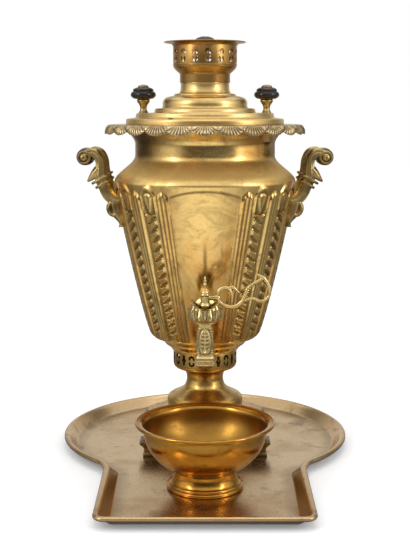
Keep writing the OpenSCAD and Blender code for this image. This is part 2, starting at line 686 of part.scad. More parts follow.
module tap_spout() color(cast_brass) translate([0, -tap_y, 0]) difference() {
  block_h = 8;
  union() {
    hull() {
      translate([0, 0, housing_z - 1]) linear_extrude(1) square_plate(spout_w / 2 - 1.8, 3);
      translate([0, 0, spout_z + block_h]) linear_extrude(1) square_plate(spout_w / 2, 2);
    }
    translate([0, 0, spout_z]) linear_extrude(block_h) square_plate(spout_w / 2 + 0.3, 3);
    translate([0, 0, spout_z + block_h]) linear_extrude(2) square_plate(spout_w / 2 + 1.2, 3);
  }
  translate([0, 0, spout_z - cut]) cylinder(r = water_r, h = housing_z - spout_z + 2 * cut, $fn = small_fn);
  translate([0, 0, spout_z - cut]) cylinder(r = spout_w / 2 - 4, h = 6, $fn = small_fn);
}

stud_r = 2.4;
hub_h = 14;
hub_z = seat_z + 1.6;
module tap_plug() color(brass) translate([0, -tap_y, 0]) difference() {
  union() {
    translate([0, 0, plug_low]) cylinder(r1 = plug_at(plug_low), r2 = plug_at(seat_z + 0.3),
      h = seat_z + 0.3 - plug_low, $fn = small_fn);
    translate([0, 0, seat_z + 0.3])
      cylinder(r = plug_at(seat_z) + 0.6, h = hub_z - seat_z - 0.3, $fn = small_fn);
    translate([0, 0, hub_z - cut]) cylinder(r = stud_r, h = hub_h + 2.2 + cut, $fn = small_fn);
  }
  translate([0, 0, plug_low - cut]) cylinder(r = water_r, h = tap_z - plug_low + cut, $fn = small_fn);
  translate([0, 0, tap_z]) rotate([0, -90, 0]) cylinder(r = water_r, h = 2 * plug_r, $fn = small_fn);
}

// Point of the key's scroll as drawn at this reach: distance from the axis, height, radius
drawn_reach = 72;
function key_point(p) = [p[0], p[1], p[2], p[2] * 0.9] * key_reach / drawn_reach;
module tap_key() color(cast_brass) translate([0, -tap_y, hub_z]) {
  difference() {
    union() {
      turned([[0, 0], [5.7, 0], [5.7, 1.6], [4.4, 3], [4.4, hub_h - 1.4], [4.8, hub_h],
        [0, hub_h]], small_fn);
      // Shank out of the hub, running down round the first turn and up to the far leaf
      bar(curve([for (p = [[3, 9.2, 2.2], [11.5, 9.4, 2.6], [14.4, 9.4, 2.2], [15.8, 5, 1.8],
        [20.5, 1, 1.9], [28, -1, 2], [35.4, 0.8, 2], [40.7, 5.6, 2], [44.2, 12.8, 1.9],
        [46.8, 19.4, 2], [53, 24.6, 2.2], [60, 28.6, 2], [66, 32, 1.2]]) key_point(p)], 2));
      // Scroll of the first turn, curling down inside it
      bar(curve([for (p = [[14.4, 9.4, 1.8], [14.2, 14, 1.8], [17.2, 18.8, 1.9], [22.6, 20.4, 2],
        [27.4, 17.6, 1.7], [29.8, 12, 1.4], [29.4, 4.5, 1.1]]) key_point(p)], 2));
      bar(curve([for (p = [[24, 20.2, 1.4], [30.5, 20.6, 2.2], [34.4, 17.4, 1.6],
        [38, 14.4, 0.7]]) key_point(p)], 2), 6);
      // Second turn, from the stem round under the far leaf
      bar(curve([for (p = [[43, 6, 1.2], [49, 8.2, 1.6], [54.5, 7.8, 1.6], [59.5, 5.4, 1.8],
        [65.5, 6.6, 1.8], [70, 11.4, 1.6], [70.8, 17.6, 1.6], [69, 24, 1.6], [64, 30.6, 2],
        [56.5, 35.6, 0.9]]) key_point(p)], 2));
    }
    translate([0, 0, -cut]) cylinder(r = stud_r + 0.05, h = hub_h + 2 * cut, $fn = small_fn);
  }
}

module tap_finial() color(brass) translate([0, -tap_y, hub_z + hub_h]) difference() {
  turned([[0, 0], [4.7, 0], [4.9, 1.4], [4.4, 2.6], [3, 3.6], [1.5, 5.4], [1.5, 8], [2.2, 10.5],
    [1.7, 13], [0.8, 19], [0, 19.4]], small_fn);
  translate([0, 0, -cut]) cylinder(r = stud_r + 0.05, h = cut + 2.4, $fn = small_fn);
}

// ---------------------------------------------------------------- lid
knob_seat_z = skirt_z + 13.4;
stud_in = 1.7;
module lid() color(brass) translate([0, 0, skirt_z]) difference() {
  union() {
    turned(sheet([[tier1_r, 0], [tier1_r, 5.4], [tier1_r - 1.4, 6.8], [tier2_r + 2, 7.6],
      [tier2_r + 0.2, 8.6], [tier2_r, 10], [tier2_r - 0.2, 12.4], [tier2_r - 1.6, 13.4],
      [roll_r + 10.6, 13.4], [roll_r + 10, 14.6], [roll_r + 9.6, 17.4], [roll_r + 8, 18.4],
      [roll_r + 1.4, 18.9], [roll_r + 0.2, 20.4], [roll_r + 0.4, 24.4], [roll_r - 0.8, 28.4],
      [roll_r - 3.6, 31.2], [roll_r - 8, 32.4], [flange_r + 1, 33.2], [flange_r, 34.2],
      [flange_r - 1, lid_h - 1.2], [sleeve_r + 2, lid_h - 0.4], [sleeve_r + 1.2, lid_h],
      [sleeve_r - 2.6, lid_h]], lid_t, true, false));
    // Locating lip inside the ring
    translate([0, 0, -5]) tube(tier2_r, lid_t, 14);
  }
  for (s = [-1, 1]) translate([s * knob_x, 0, 0]) cylinder(r = stud_in + 0.1, h = 20, $fn = small_fn);
  translate([vent_x, vent_y, 0]) cylinder(r = 1.9, h = 12, $fn = small_fn);
}

sleeve_wall = 2.4;
module lid_sleeve() color(brass) translate([0, 0, sleeve_z])
  turned([[sleeve_r - sleeve_wall, 0], [sleeve_r + 1, 0], [sleeve_r + 1, 1], [sleeve_r, 2.2],
    [sleeve_r - 0.4, sleeve_h - 1.2], [sleeve_r - 0.2, sleeve_h], [sleeve_r - sleeve_wall, sleeve_h]]);

vent_a = 64;
vent_r = (tier1_r + tier2_r) / 2;
vent_x = -vent_r * cos(vent_a);
vent_y = -vent_r * sin(vent_a);
module steam_vent() color(cast_brass) translate([vent_x, vent_y, skirt_z + 7.52]) difference() {
  union() {
    cylinder(r = 2.8, h = 1, $fn = small_fn);
    translate([0, 0, -3]) cylinder(r = 1.8, h = 3.4, $fn = small_fn);
  }
  translate([0, 0, -4]) cylinder(r = 1, h = 6, $fn = small_fn);
}

// Knobs: a flared stem with its stud, a turned wood knob, a domed cap and a nut below
module knob_place(side) {
  translate([side * knob_x, 0, knob_seat_z]) children();
}

module knob_stem(side) color(cast_brass) knob_place(side) {
  h = knob_stem_h;
  turned([[0, 0], [5.4, 0], [5.4, 1.2], [4.2, 3], [4.1, h * 0.4], [5, h * 0.6], [7.2, h * 0.8],
    [7.6, h * 0.92], [7.2, h], [0, h]], small_fn);
  translate([0, 0, -lid_t - 4.6]) cylinder(r = stud_in, h = lid_t + 5.6, $fn = small_fn);
  translate([0, 0, h - cut]) cylinder(r = stud_in, h = cut + knob_h + 1.4, $fn = small_fn);
}

module knob(side) color(dark_wood) knob_place(side) translate([0, 0, knob_stem_h]) difference() {
  r = knob_r;
  h = knob_h;
  turned(concat([[0, 0], [6.6, 0]], curve([[r * 0.55, h * 0.03], [r * 0.86, h * 0.14],
    [r, h * 0.36], [r * 0.96, h * 0.56], [r * 0.84, h * 0.66], [r * 0.82, h * 0.76],
    [r * 0.6, h * 0.96], [r * 0.42, h]], 3), [[0, h]]), 64);
  translate([0, 0, -cut]) cylinder(r = stud_in + 0.1, h = h + 2 * cut, $fn = small_fn);
}

module knob_cap(side) color(brass) knob_place(side)
  translate([0, 0, knob_stem_h + knob_h]) difference() {
    turned([[0, 0], [6.2, 0], [6.4, 0.8], [5.6, 1.8], [3.4, 2.7], [0, 3]], small_fn);
    translate([0, 0, -cut]) cylinder(r = stud_in + 0.1, h = cut + 1.6, $fn = small_fn);
  }

module knob_nuts() color(brass) for (s = [-1, 1]) knob_place(s) translate([0, 0, -lid_t - 3.2])
  difference() {
    cylinder(r = 4, h = 3.1, $fn = 6);
    translate([0, 0, -cut]) cylinder(r = stud_in + 0.1, h = 6, $fn = small_fn);
  }

// ---------------------------------------------------------------- crown
crown_neck_r = sleeve_r - 0.4;
spigot_r = sleeve_r - sleeve_wall - loose;
flange_h = 4.4;
module crown_drum() color(brass) translate([0, 0, crown_z]) {
  h = crown_h - flange_h;
  difference() {
    turned(sheet(concat([[crown_neck_r, 0], [crown_neck_r, h * 0.21]],
      curve([[crown_neck_r + 0.4, h * 0.25], [drum_r - 4.4, h * 0.31], [drum_r - 0.8, h * 0.4],
        [drum_r - 0.2, h * 0.46]], 3),
      [[drum_r + 0.4, h * 0.475], [drum_r - 0.2, h * 0.49], [drum_r, h * 0.53], [drum_r, h]]), crown_t));
    translate([0, 0, h * 0.52 + crown_hole_h / 2 + 1.6])
      around(crown_holes, 6) pierce(drum_r, 4) crescents(crown_hole_h);
  }
  // Spigot that centres the crown in the sleeve
  turned([[spigot_r - 1.2, -6], [spigot_r, -6], [spigot_r, 0], [crown_neck_r - 0.6, 0],
    [crown_neck_r - 0.6, 1.4], [spigot_r - 1.2, 1.4]]);
}

module crown_flange() color(brass) translate([0, 0, crown_z + crown_h - flange_h]) {
  h = flange_h;
  turned([[drum_r - crown_t, 0], [drum_r + 0.6, 0], [drum_r + 1.4, h * 0.4], [crown_r - 5, h * 0.64],
    [crown_r, h - 0.9], [crown_r, h], [crown_r - 3, h], [crown_r - 5, h - 0.5], [drum_r + 0.4, h * 0.72],
    [drum_r - crown_t, h * 0.6]]);
}

// ---------------------------------------------------------------- damper
damper_z = tube_top_z + loose;
damper_knob_z = crown_top_z + damper_rise;
damper_knob_h = 13;
damper_cap_h = 19;
damper_t = 1.6;
damper_stem_z = damper_z + damper_cap_h;
module damper_cap() color(sooty) translate([0, 0, damper_z]) let (h = damper_cap_h, t = damper_t)
  turned([[tube_top_r - tube_t - 2.2, -7], [tube_top_r - tube_t - 1, -7],
    [tube_top_r - tube_t - 0.6, 0], [spigot_r - t, 0], [spigot_r - t, t], [tube_top_r - 2.4, 2.2],
    [tube_top_r * 0.6, h * 0.42], [tube_top_r * 0.25, h * 0.79], [4.6, h], [0, h], [0, h - t],
    [3.4, h - t - 0.2], [tube_top_r * 0.2, h * 0.74], [tube_top_r * 0.55, h * 0.35],
    [tube_top_r - tube_t - 2, 1], [tube_top_r - tube_t - 2.2, -1]], 64);

module damper_stem() color(cast_brass) translate([0, 0, damper_stem_z])
  turned([[0, 0], [4.6, 0], [4.6, 1.2], [2.8, 3], [2.6, damper_knob_z - damper_knob_h - damper_stem_z - 2],
    [5, damper_knob_z - damper_knob_h - damper_stem_z],
    [0, damper_knob_z - damper_knob_h - damper_stem_z]], small_fn);

module damper_knob() color(dark_wood) translate([0, 0, damper_knob_z - damper_knob_h]) {
  r = damper_knob_r;
  h = damper_knob_h;
  turned([[0, 0], [5, 0], [r * 0.86, h * 0.16], [r, h * 0.4], [r * 0.97, h * 0.66], [r * 0.72, h * 0.88],
    [r * 0.36, h], [0, h]], 64);
}

tray();
drip_bowl();
drip_bowl_foot();
base_feet();
base_plinth();
pedestal();
air_collar();
ash_grate();
vessel_floor();
vessel_wall();
fire_tube();
rim_skirt();
handle_brackets(-1);  // handle_brackets_left
handle_brackets(1);  // handle_brackets_right
handle_grip(-1);  // handle_grip_left
handle_grip(1);  // handle_grip_right
handle_spindle(-1);  // handle_spindle_left
handle_spindle(1);  // handle_spindle_right
tap_washer();
tap_body();
tap_back_nut();
tap_spout();
tap_plug();
tap_key();
tap_finial();
lid();
lid_sleeve();
steam_vent();
knob_stem(-1);  // knob_stem_left
knob_stem(1);  // knob_stem_right
knob(-1);  // knob_left
knob(1);  // knob_right
knob_cap(-1);  // knob_cap_left
knob_cap(1);  // knob_cap_right
knob_nuts();
crown_drum();
crown_flange();
damper_cap();
damper_stem();
damper_knob();
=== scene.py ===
"""Looks of the charcoal samovar: fine relief, finishes, and the plain studio it stands in.

Every size is in millimetres and is turned into metres when a mesh is made. The frame is the
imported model's own: +Z up, -Y towards the tap, +X to the right when facing the tap.
"""

import logging
import math
from dataclasses import dataclass
from enum import Enum
from typing import Callable, Optional, Sequence

import bmesh
import bpy
import numpy as np
from mathutils import Matrix, Vector


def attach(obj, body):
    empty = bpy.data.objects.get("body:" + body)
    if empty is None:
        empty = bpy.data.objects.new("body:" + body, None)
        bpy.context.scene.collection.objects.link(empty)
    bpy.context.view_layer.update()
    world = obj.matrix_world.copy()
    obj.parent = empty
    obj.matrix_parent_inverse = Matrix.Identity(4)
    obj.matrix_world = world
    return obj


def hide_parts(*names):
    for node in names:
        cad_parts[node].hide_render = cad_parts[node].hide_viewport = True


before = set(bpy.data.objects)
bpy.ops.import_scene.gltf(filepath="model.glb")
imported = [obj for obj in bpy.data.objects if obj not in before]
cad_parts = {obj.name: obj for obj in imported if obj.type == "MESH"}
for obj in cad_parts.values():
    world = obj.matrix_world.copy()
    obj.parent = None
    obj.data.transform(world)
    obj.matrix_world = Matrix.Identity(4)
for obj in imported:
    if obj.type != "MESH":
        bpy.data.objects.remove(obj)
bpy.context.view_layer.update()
LOG = logging.getLogger("samovar")

TAU = 2 * math.pi
MM = 0.001  # metres in a millimetre
MERGE = 1e-6  # metres; points closer than this are one
DOUBLE = 1e-9  # metres; the same where fine points have to stay apart
WELD = 2e-6  # metres; the same for a CAD node's triangles
SEAM = 2e-5  # metres; the same for the seams between copies
ON_AXIS = 1e-6  # millimetres; a point closer to the axis lies on it
STRAIGHT = -0.94  # cosine between two edges under which their corner counts as straight
CORNER_SHARE = 0.42  # most of an edge that the rounding at one of its ends takes
CUT_REACH = 5.0  # millimetres that a cutter reaches to either side of a wall's face

Array = np.ndarray
Point2 = tuple[float, float]
Colour = tuple[float, float, float]
Faces = list[tuple[int, ...]]
Form = tuple[Array, Faces]
Mesh = bpy.types.Mesh
Piece = bpy.types.Object
Material = bpy.types.Material
Socket = bpy.types.NodeSocket


class Body(Enum):
    """The CAD body that a piece rides on."""

    TRAY = "tray"
    BOWL = "drip_bowl"
    SAMOVAR = "samovar"
    TAP = "tap"
    LID = "lid"
    CROWN = "crown"
    DAMPER = "damper"


class Slot(Enum):
    """The record's material slots."""

    TRAY = "tray_bronze"
    BOWL = "polished_brass"
    BASE = "base_brass"
    FEET = "cast_feet"
    WALL = "wall_brass"
    SOOT = "soot_iron"
    SKIRT = "skirt_metal"
    CAST = "cast_brass"
    WOOD = "dark_wood"
    TAP = "tap_brass"
    LID = "lid_brass"
    CROWN = "crown_brass"


class Side(Enum):
    """Left or right of the tap, seen from in front of it."""

    LEFT = -1
    RIGHT = 1

    @property
    def word(self) -> str:
        """Ending of the names of that side's nodes."""
        return "left" if self is Side.LEFT else "right"


# ---------------------------------------- numbers and curves
def smooth(t: Array) -> Array:
    """Ease from 0 to 1 as t goes from 0 to 1."""
    c = np.clip(t, 0.0, 1.0)
    return c * c * (3 - 2 * c)


def rise(x: Array, start: float, run: float) -> Array:
    """Ease from 0 to 1 as x goes from start over run."""
    return smooth((x - start) / run)


def fall(x: Array, start: float, run: float) -> Array:
    """Ease from 1 to 0 as x goes from start over run."""
    return 1 - rise(x, start, run)


def bump(x: Array, width: float) -> Array:
    """Bell of height 1 round x = 0, about twice width across."""
    return np.exp(-((x / width) ** 2))


def azimuth(x: Array, y: Array) -> Array:
    """Angle in degrees round the Z axis from the front, towards +X."""
    return np.degrees(np.arctan2(x, -y))


def scaled(points: Sequence[Point2], wide: float, high: float) -> Array:
    """Points that are given as shares of a width and a height."""
    return np.array(points, float) * (wide, high)


def curve(points: Sequence[Sequence[float]], steps: int = 4) -> Array:
    """Catmull-Rom curve through points.

    Args:
        points: points of any one dimension, in order.
        steps: stretches between one point and the next.

    Returns:
        The curve's points, one per row.
    """
    p = np.array(points, float)
    padded = np.vstack([p[0], p, p[-1]])
    made = []
    for i in range(len(p) - 1):
        a, b, c, d = padded[i:i + 4]
        for t in np.arange(steps) / steps:
            made.append(0.5 * (2 * b + (c - a) * t + (2 * a - 5 * b + 4 * c - d) * t ** 2
                               + (3 * b - a - 3 * c + d) * t ** 3))
    return np.vstack([made, p[-1]])


def bend(a: Array, corner: Array, b: Array, steps: int) -> list[Array]:
    """Points of the rounding that leads from a to b and leans towards a corner."""
    return [(1 - t) ** 2 * a + 2 * t * (1 - t) * corner + t * t * b
            for t in np.linspace(0, 1, steps + 1)]


def eased(outline: Sequence[Point2], radius: float = 0.5, steps: int = 3) -> list[Point2]:
    """Round the corners of a closed outline.

    Args:
        outline: corners as (radius, height).
        radius: how far from a corner its rounding starts.
        steps: stretches in one rounding.

    Returns:
        The rounded outline; corners on the axis stay sharp.
    """
    p = [np.array(q, float) for q in outline]
    made: list[Point2] = []
    for i, here in enumerate(p):
        before, after = p[i - 1] - here, p[(i + 1) % len(p)] - here
        l1, l2 = np.linalg.norm(before), np.linalg.norm(after)
        if here[0] <= ON_AXIS or l1 == 0 or l2 == 0 or float(before @ after) / (l1 * l2) < STRAIGHT:
            made.append(tuple(here))
            continue
        a = here + before / l1 * min(radius, CORNER_SHARE * l1)
        b = here + after / l2 * min(radius, CORNER_SHARE * l2)
        made += [tuple(q) for q in bend(a, here, b, steps)]
    return made


def headings(path: Array) -> Array:
    """Unit direction of a path at each of its points."""
    run = np.gradient(path, axis=0)
    return run / np.linalg.norm(run, axis=1)[:, None]


def plate(profile: Sequence[Sequence[float]], thickness: float) -> list[Point2]:
    """Closed outline of a sheet.

    Args:
        profile: the sheet's outer face as (radius, height), going up.
        thickness: of the sheet.

    Returns:
        The outer face going up, then the inner one going down.
    """
    p = np.array(profile, float)
    run = headings(p)
    inner = p + thickness * np.stack([-run[:, 1], run[:, 0]], 1)
    inner[:, 0] = np.maximum(inner[:, 0], 0.0)
    return [tuple(q) for q in [*p, *inner[::-1]]]


def full_turn(steps: int) -> Array:
    """Angles of one full turn, without its end."""
    return np.linspace(0, TAU, steps, endpoint=False)


def around(radius: Array, angle: Array, height: Array, at: Point2 = (0.0, 0.0)) -> Array:
    """Points round an upright axis.

    Args:
        radius: distance from the axis.
        angle: turn from the front, towards +X.
        height: height over the table.
        at: where the axis stands.

    Returns:
        One point for each value of the three, which are broadcast together.
    """
    return np.stack(np.broadcast_arrays(at[0] + radius * np.sin(angle),
                                        at[1] - radius * np.cos(angle), height), -1)


def along_y(outline: Array, angle: Array, x: float, z: float) -> Array:
    """Rings round an axis along Y.

    Args:
        outline: rows of (radius, y).
        angle: angles of the points of a ring.
        x: the axis's place.
        z: the axis's height.

    Returns:
        One ring for each row of the outline.
    """
    radius, y = outline[:, :1], outline[:, 1:]
    return np.stack(np.broadcast_arrays(x + radius * np.cos(angle), y,
                                        z + radius * np.sin(angle)), -1)


# ---------------------------------------- meshes
def link(name: str, data: bpy.types.ID) -> Piece:
    """Put data into the scene as an object at the origin.

    Args:
        name: the object's name.
        data: the mesh or curve that it shows.

    Returns:
        The new object.
    """
    piece = bpy.data.objects.new(name, data)
    bpy.context.scene.collection.objects.link(piece)
    return piece


def tidy(mesh: Mesh, sharp: float = 40.0, merge: float = MERGE,
         recalculate: bool = True) -> Mesh:
    """Merge a mesh's doubles, point its faces outwards and shade it smooth.

    Args:
        mesh: the mesh to clean, in metres.
        sharp: edges over this angle in degrees stay crisp.
        merge: distance under which points are one.
        recalculate: whether to work out the outward side again.

    Returns:
        The same mesh.
    """
    work = bmesh.new()
    work.from_mesh(mesh)
    bmesh.ops.remove_doubles(work, verts=work.verts, dist=merge)
    bmesh.ops.dissolve_degenerate(work, edges=work.edges, dist=merge)
    if recalculate:
        bmesh.ops.recalc_face_normals(work, faces=work.faces)
    work.to_mesh(mesh)
    work.free()
    mesh.polygons.foreach_set("use_smooth", [True] * len(mesh.polygons))
    mesh.set_sharp_from_angle(angle=math.radians(sharp))
    mesh.update()
    return mesh


def write(mesh: Mesh, name: str, values: Array) -> None:
    """Set an attribute that the finishes read, one value for each point."""
    layer = mesh.attributes.get(name) or mesh.attributes.new(name, "FLOAT", "POINT")
    layer.data.foreach_set("value", np.asarray(values, np.float32).ravel())


def solid(name: str, points: Array, faces: Faces, sharp: float = 40.0,
          dirt_and_shade: Optional[Array] = None, merge: float = MERGE) -> Piece:
    """Object from points in millimetres.

    Args:
        name: the object's name.
        points: one point per row.
        faces: indices of each face's corners.
        sharp: edges over this angle in degrees stay crisp.
        dirt_and_shade: how dark each point is painted, from 0 to 1, for dirt and for painted shade.
        merge: distance in metres under which points are one.

    Returns:
        The linked object.
    """
    mesh = bpy.data.meshes.new(name)
    mesh.from_pydata((np.asarray(points, float) * MM).tolist(), [], faces)
    if dirt_and_shade is not None:
        write(mesh, "dirt_and_shade", dirt_and_shade)
    return link(name, tidy(mesh, sharp, merge))


def mark(piece: Piece, name: str, rule: Callable[[Array, Array, Array], Array]) -> None:
    """Write a value to each point by its place, on top of what is there.

    Args:
        piece: the piece to mark.
        name: attribute that the finishes read.
        rule: value from x, y and z in millimetres.
    """
    mesh = piece.data
    count = len(mesh.vertices)
    place = np.empty(count * 3)
    mesh.vertices.foreach_get("co", place)
    old = np.zeros(count, np.float32)
    if name in mesh.attributes:
        mesh.attributes[name].data.foreach_get("value", old)
    value = np.maximum(old, rule(*(place.reshape(-1, 3) / MM).T))
    write(mesh, name, np.clip(value, 0, 1))


def rings(shape: Array, closed_across: bool = True, closed_along: bool = False,
          caps: bool = False) -> Form:
    """Faces that join a grid of points, ring by ring.

    Args:
        shape: array of (ring, point, xyz).
        closed_across: whether each ring closes on itself.
        closed_along: whether the last ring joins the first.
        caps: whether the first and last ring are filled.

    Returns:
        The points, one per row, and the faces.
    """
    m, n = shape.shape[:2]
    faces: Faces = []
    for j in range(m if closed_along else m - 1):
        k = (j + 1) % m
        for i in range(n if closed_across else n - 1):
            h = (i + 1) % n
            faces.append((j * n + i, j * n + h, k * n + h, k * n + i))
    if caps:
        faces.append(tuple(range(n))[::-1])
        faces.append(tuple((m - 1) * n + i for i in range(n)))
    return shape.reshape(-1, 3), faces


def lathe(name: str, outline: Sequence[Point2], z: float = 0.0, at: Point2 = (0.0, 0.0),
          turns: int = 160, ease: float = 0.5) -> Piece:
    """Closed outline turned round an upright axis.

    Args:
        name: the object's name.
        outline: corners as (radius, height over z), closed on itself.
        z: height of the outline's zero.
        at: where the axis stands.
        turns: steps round the axis.
        ease: rounding of the outline's corners.

    Returns:
        The linked object.
    """
    raised = [(r, h + z) for r, h in outline]
    profile = np.array(eased(raised, ease) if ease > 0 else raised)
    shape = around(profile[:, :1], full_turn(turns), profile[:, 1:], at)
    return solid(name, *rings(shape, closed_along=True))


def flat_sweep(path: Array, sides: int, flutes: int = 0, relief: float = 0.0) -> Form:
    """Bar that follows a path in the X-Z plane.

    Args:
        path: rows of (x, z, radius in the plane, half depth across it).
        sides: points round the bar.
        flutes: ridges round the bar.
        relief: how far the ridges stand out, as a share of the radius.

    Returns:
        Points and faces, closed at both ends.
    """
    run = headings(path[:, :2])
    turn = full_turn(sides)
    swell = 1 + relief * np.cos(flutes * turn)
    c, s = np.cos(turn) * swell, np.sin(turn) * swell
    shape = np.stack([path[:, 0:1] - run[:, 1:2] * path[:, 2:3] * c,
                      path[:, 3:4] * s,
                      path[:, 1:2] + run[:, 0:1] * path[:, 2:3] * c], 2)
    return rings(shape, caps=True)


def joined(forms: Sequence[Form]) -> Form:
    """One form from several.

    Args:
        forms: points and faces of each.

    Returns:
        All points and all faces.
    """
    points, faces, start = [], [], 0
    for p, f in forms:
        points.append(p)
        faces += [tuple(start + i for i in face) for face in f]
        start += len(p)
    return np.vstack(points), faces


def fused(name: str, forms: Sequence[Form], voxel: float, relax: int = 1,
          sharp: float = 60.0) -> Piece:
    """Melt overlapping solids into one cast form.

    Args:
        name: the object's name.
        forms: points in millimetres and faces of each solid.
        voxel: size of the remesh in millimetres.
        relax: passes of smoothing.
        sharp: edges over this angle in degrees stay crisp.

    Returns:
        The linked object.
    """
    rough = solid(name + "_rough", *joined(forms), merge=DOUBLE)
    remesh = rough.modifiers.new("melt", "REMESH")
    remesh.mode = "VOXEL"
    remesh.voxel_size = voxel * MM
    ease = rough.modifiers.new("ease", "SMOOTH")
    ease.factor = 0.5
    ease.iterations = relax
    return baked(rough, name, sharp)


def baked(rough: Piece, name: str, sharp: float = 40.0,
          recalculate: bool = False) -> Piece:
    """Plain mesh of an object with its modifiers applied.

    Args:
        rough: the object; it is used up.
        name: the new object's name.
        sharp: edges over this angle in degrees stay crisp.
        recalculate: whether to work out the outward side again.

    Returns:
        The new object.
    """
    mesh = bpy.data.meshes.new_from_object(
        rough.evaluated_get(bpy.context.evaluated_depsgraph_get()))
    bpy.data.objects.remove(rough)
    mesh.name = name
    return link(name, tidy(mesh, sharp, recalculate=recalculate))


def from_node(node: str, bevel: float, sharp: float = 32.0) -> Piece:
    """Merged copy of a CAD node with small bevels on its edges.

    Args:
        node: the CAD node's name.
        bevel: width of the bevels in millimetres.
        sharp: edges over this angle in degrees are bevelled.

    Returns:
        A new piece that replaces the node.
    """
    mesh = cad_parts[node].data.copy()
    mesh.materials.clear()
    work = bmesh.new()
    work.from_mesh(mesh)
    bmesh.ops.remove_doubles(work, verts=work.verts, dist=WELD)
    bmesh.ops.dissolve_limit(work, angle_limit=math.radians(1.0), verts=work.verts,
                             edges=work.edges)
    work.to_mesh(mesh)
    work.free()
    rough = link(node + "_rough", mesh)
    edge = rough.modifiers.new("edge", "BEVEL")
    edge.width = bevel * MM
    edge.segments = 2
    edge.limit_method = "ANGLE"
    edge.angle_limit = math.radians(sharp)
    edge.use_clamp_overlap = True
    return baked(rough, node + "_dressed", sharp)


def crescents(radius: float, hollow: float, centre: float, reach: float) -> list[Array]:
    """Two facing crescents, one above the other, as outlines round (0, 0).

    Args:
        radius: outer radius of each crescent.
        hollow: inner radius.
        centre: how far each stands from the middle.
        reach: how far each goes round to either side, in degrees.

    Returns:
        One closed outline for each crescent.
    """
    a = np.radians(np.linspace(-reach, reach, 25))
    arc = np.stack([np.sin(a), np.cos(a)], 1)
    whole = np.concatenate([radius * arc, hollow * arc[::-1]])
    return [whole * (1, turn) + (0, turn * centre) for turn in (1, -1)]


def waisted_slot(width: float, height: float) -> list[Array]:
    """Upright slot that swells at its middle, round (0, 0).

    Args:
        width: width beside the swelling.
        height: height of the slot.

    Returns:
        One closed outline, in a list.
    """
    v = np.linspace(-1, 1, 33)
    half = width / 2 * np.sqrt(np.clip(1 - np.abs(v) ** 9, 0.02, 1)) * (1 + 0.75 * bump(v, 0.22))
    side = np.stack([half, v * height / 2], 1)
    return [np.concatenate([side, side[::-1] * (-1, 1)])]


def cutters(outlines: Sequence[Array], radius: float, z: float, name: str) -> Piece:
    """Prisms that cut outlines through a wall in front of the Z axis.

    Args:
        outlines: closed outlines as (across, up) from the middle of the cuts.
        radius: radius of the wall.
        z: height of the middle of the cuts.
        name: the object's name.

    Returns:
        All prisms in one object.
    """
    prisms = [rings(np.array([[(x, y, z + h) for x, h in outline]
                              for y in (-radius + CUT_REACH, -radius - CUT_REACH)]), caps=True)
              for outline in outlines]
    return solid(name, *joined(prisms), merge=DOUBLE)


def pierced(shell: Piece, tools: Sequence[Piece], name: str) -> Piece:
    """Shell with the tools cut out of it.

    Args:
        shell: the object to pierce; it is used up.
        tools: the cutters; they are used up.
        name: the new piece's name.

    Returns:
        The new piece.
    """
    for tool in tools:
        cut = shell.modifiers.new("cut", "BOOLEAN")
        cut.operation = "DIFFERENCE"
        cut.solver = "EXACT"
        cut.object = tool
    piece = baked(shell, name, 35)
    for tool in tools:
        bpy.data.objects.remove(tool)
    return piece


# ---------------------------------------- node trees
class Graph:
    """Small hand for building a node tree."""

    def __init__(self, tree: bpy.types.NodeTree) -> None:
        """Start with an empty tree."""
        self.tree = tree
        self.tree.nodes.clear()

    def add(self, kind: str, inputs: Optional[dict[int | str, object]] = None,
            **settings: object) -> bpy.types.Node:
        """New node with its inputs and settings.

        Args:
            kind: the node's type.
            inputs: a constant, or a socket to link from, for each input by name or number.
            settings: the node's own settings.

        Returns:
            The node.
        """
        node = self.tree.nodes.new(kind)
        for key, value in settings.items():
            setattr(node, key, value)
        for key, value in (inputs or {}).items():
            self.feed(node.inputs[key], value)
        return node

    def feed(self, entry: Socket, value: object) -> None:
        """Give an input its value.

        Args:
            entry: the input.
            value: a constant, or a socket to link from.
        """
        if isinstance(value, Socket):
            self.tree.links.new(value, entry)
        else:
            entry.default_value = value

    def maths(self, operation: str, *values: object) -> Socket:
        """Maths on sockets or numbers."""
        return self.add("ShaderNodeMath", dict(enumerate(values)), operation=operation).outputs[0]


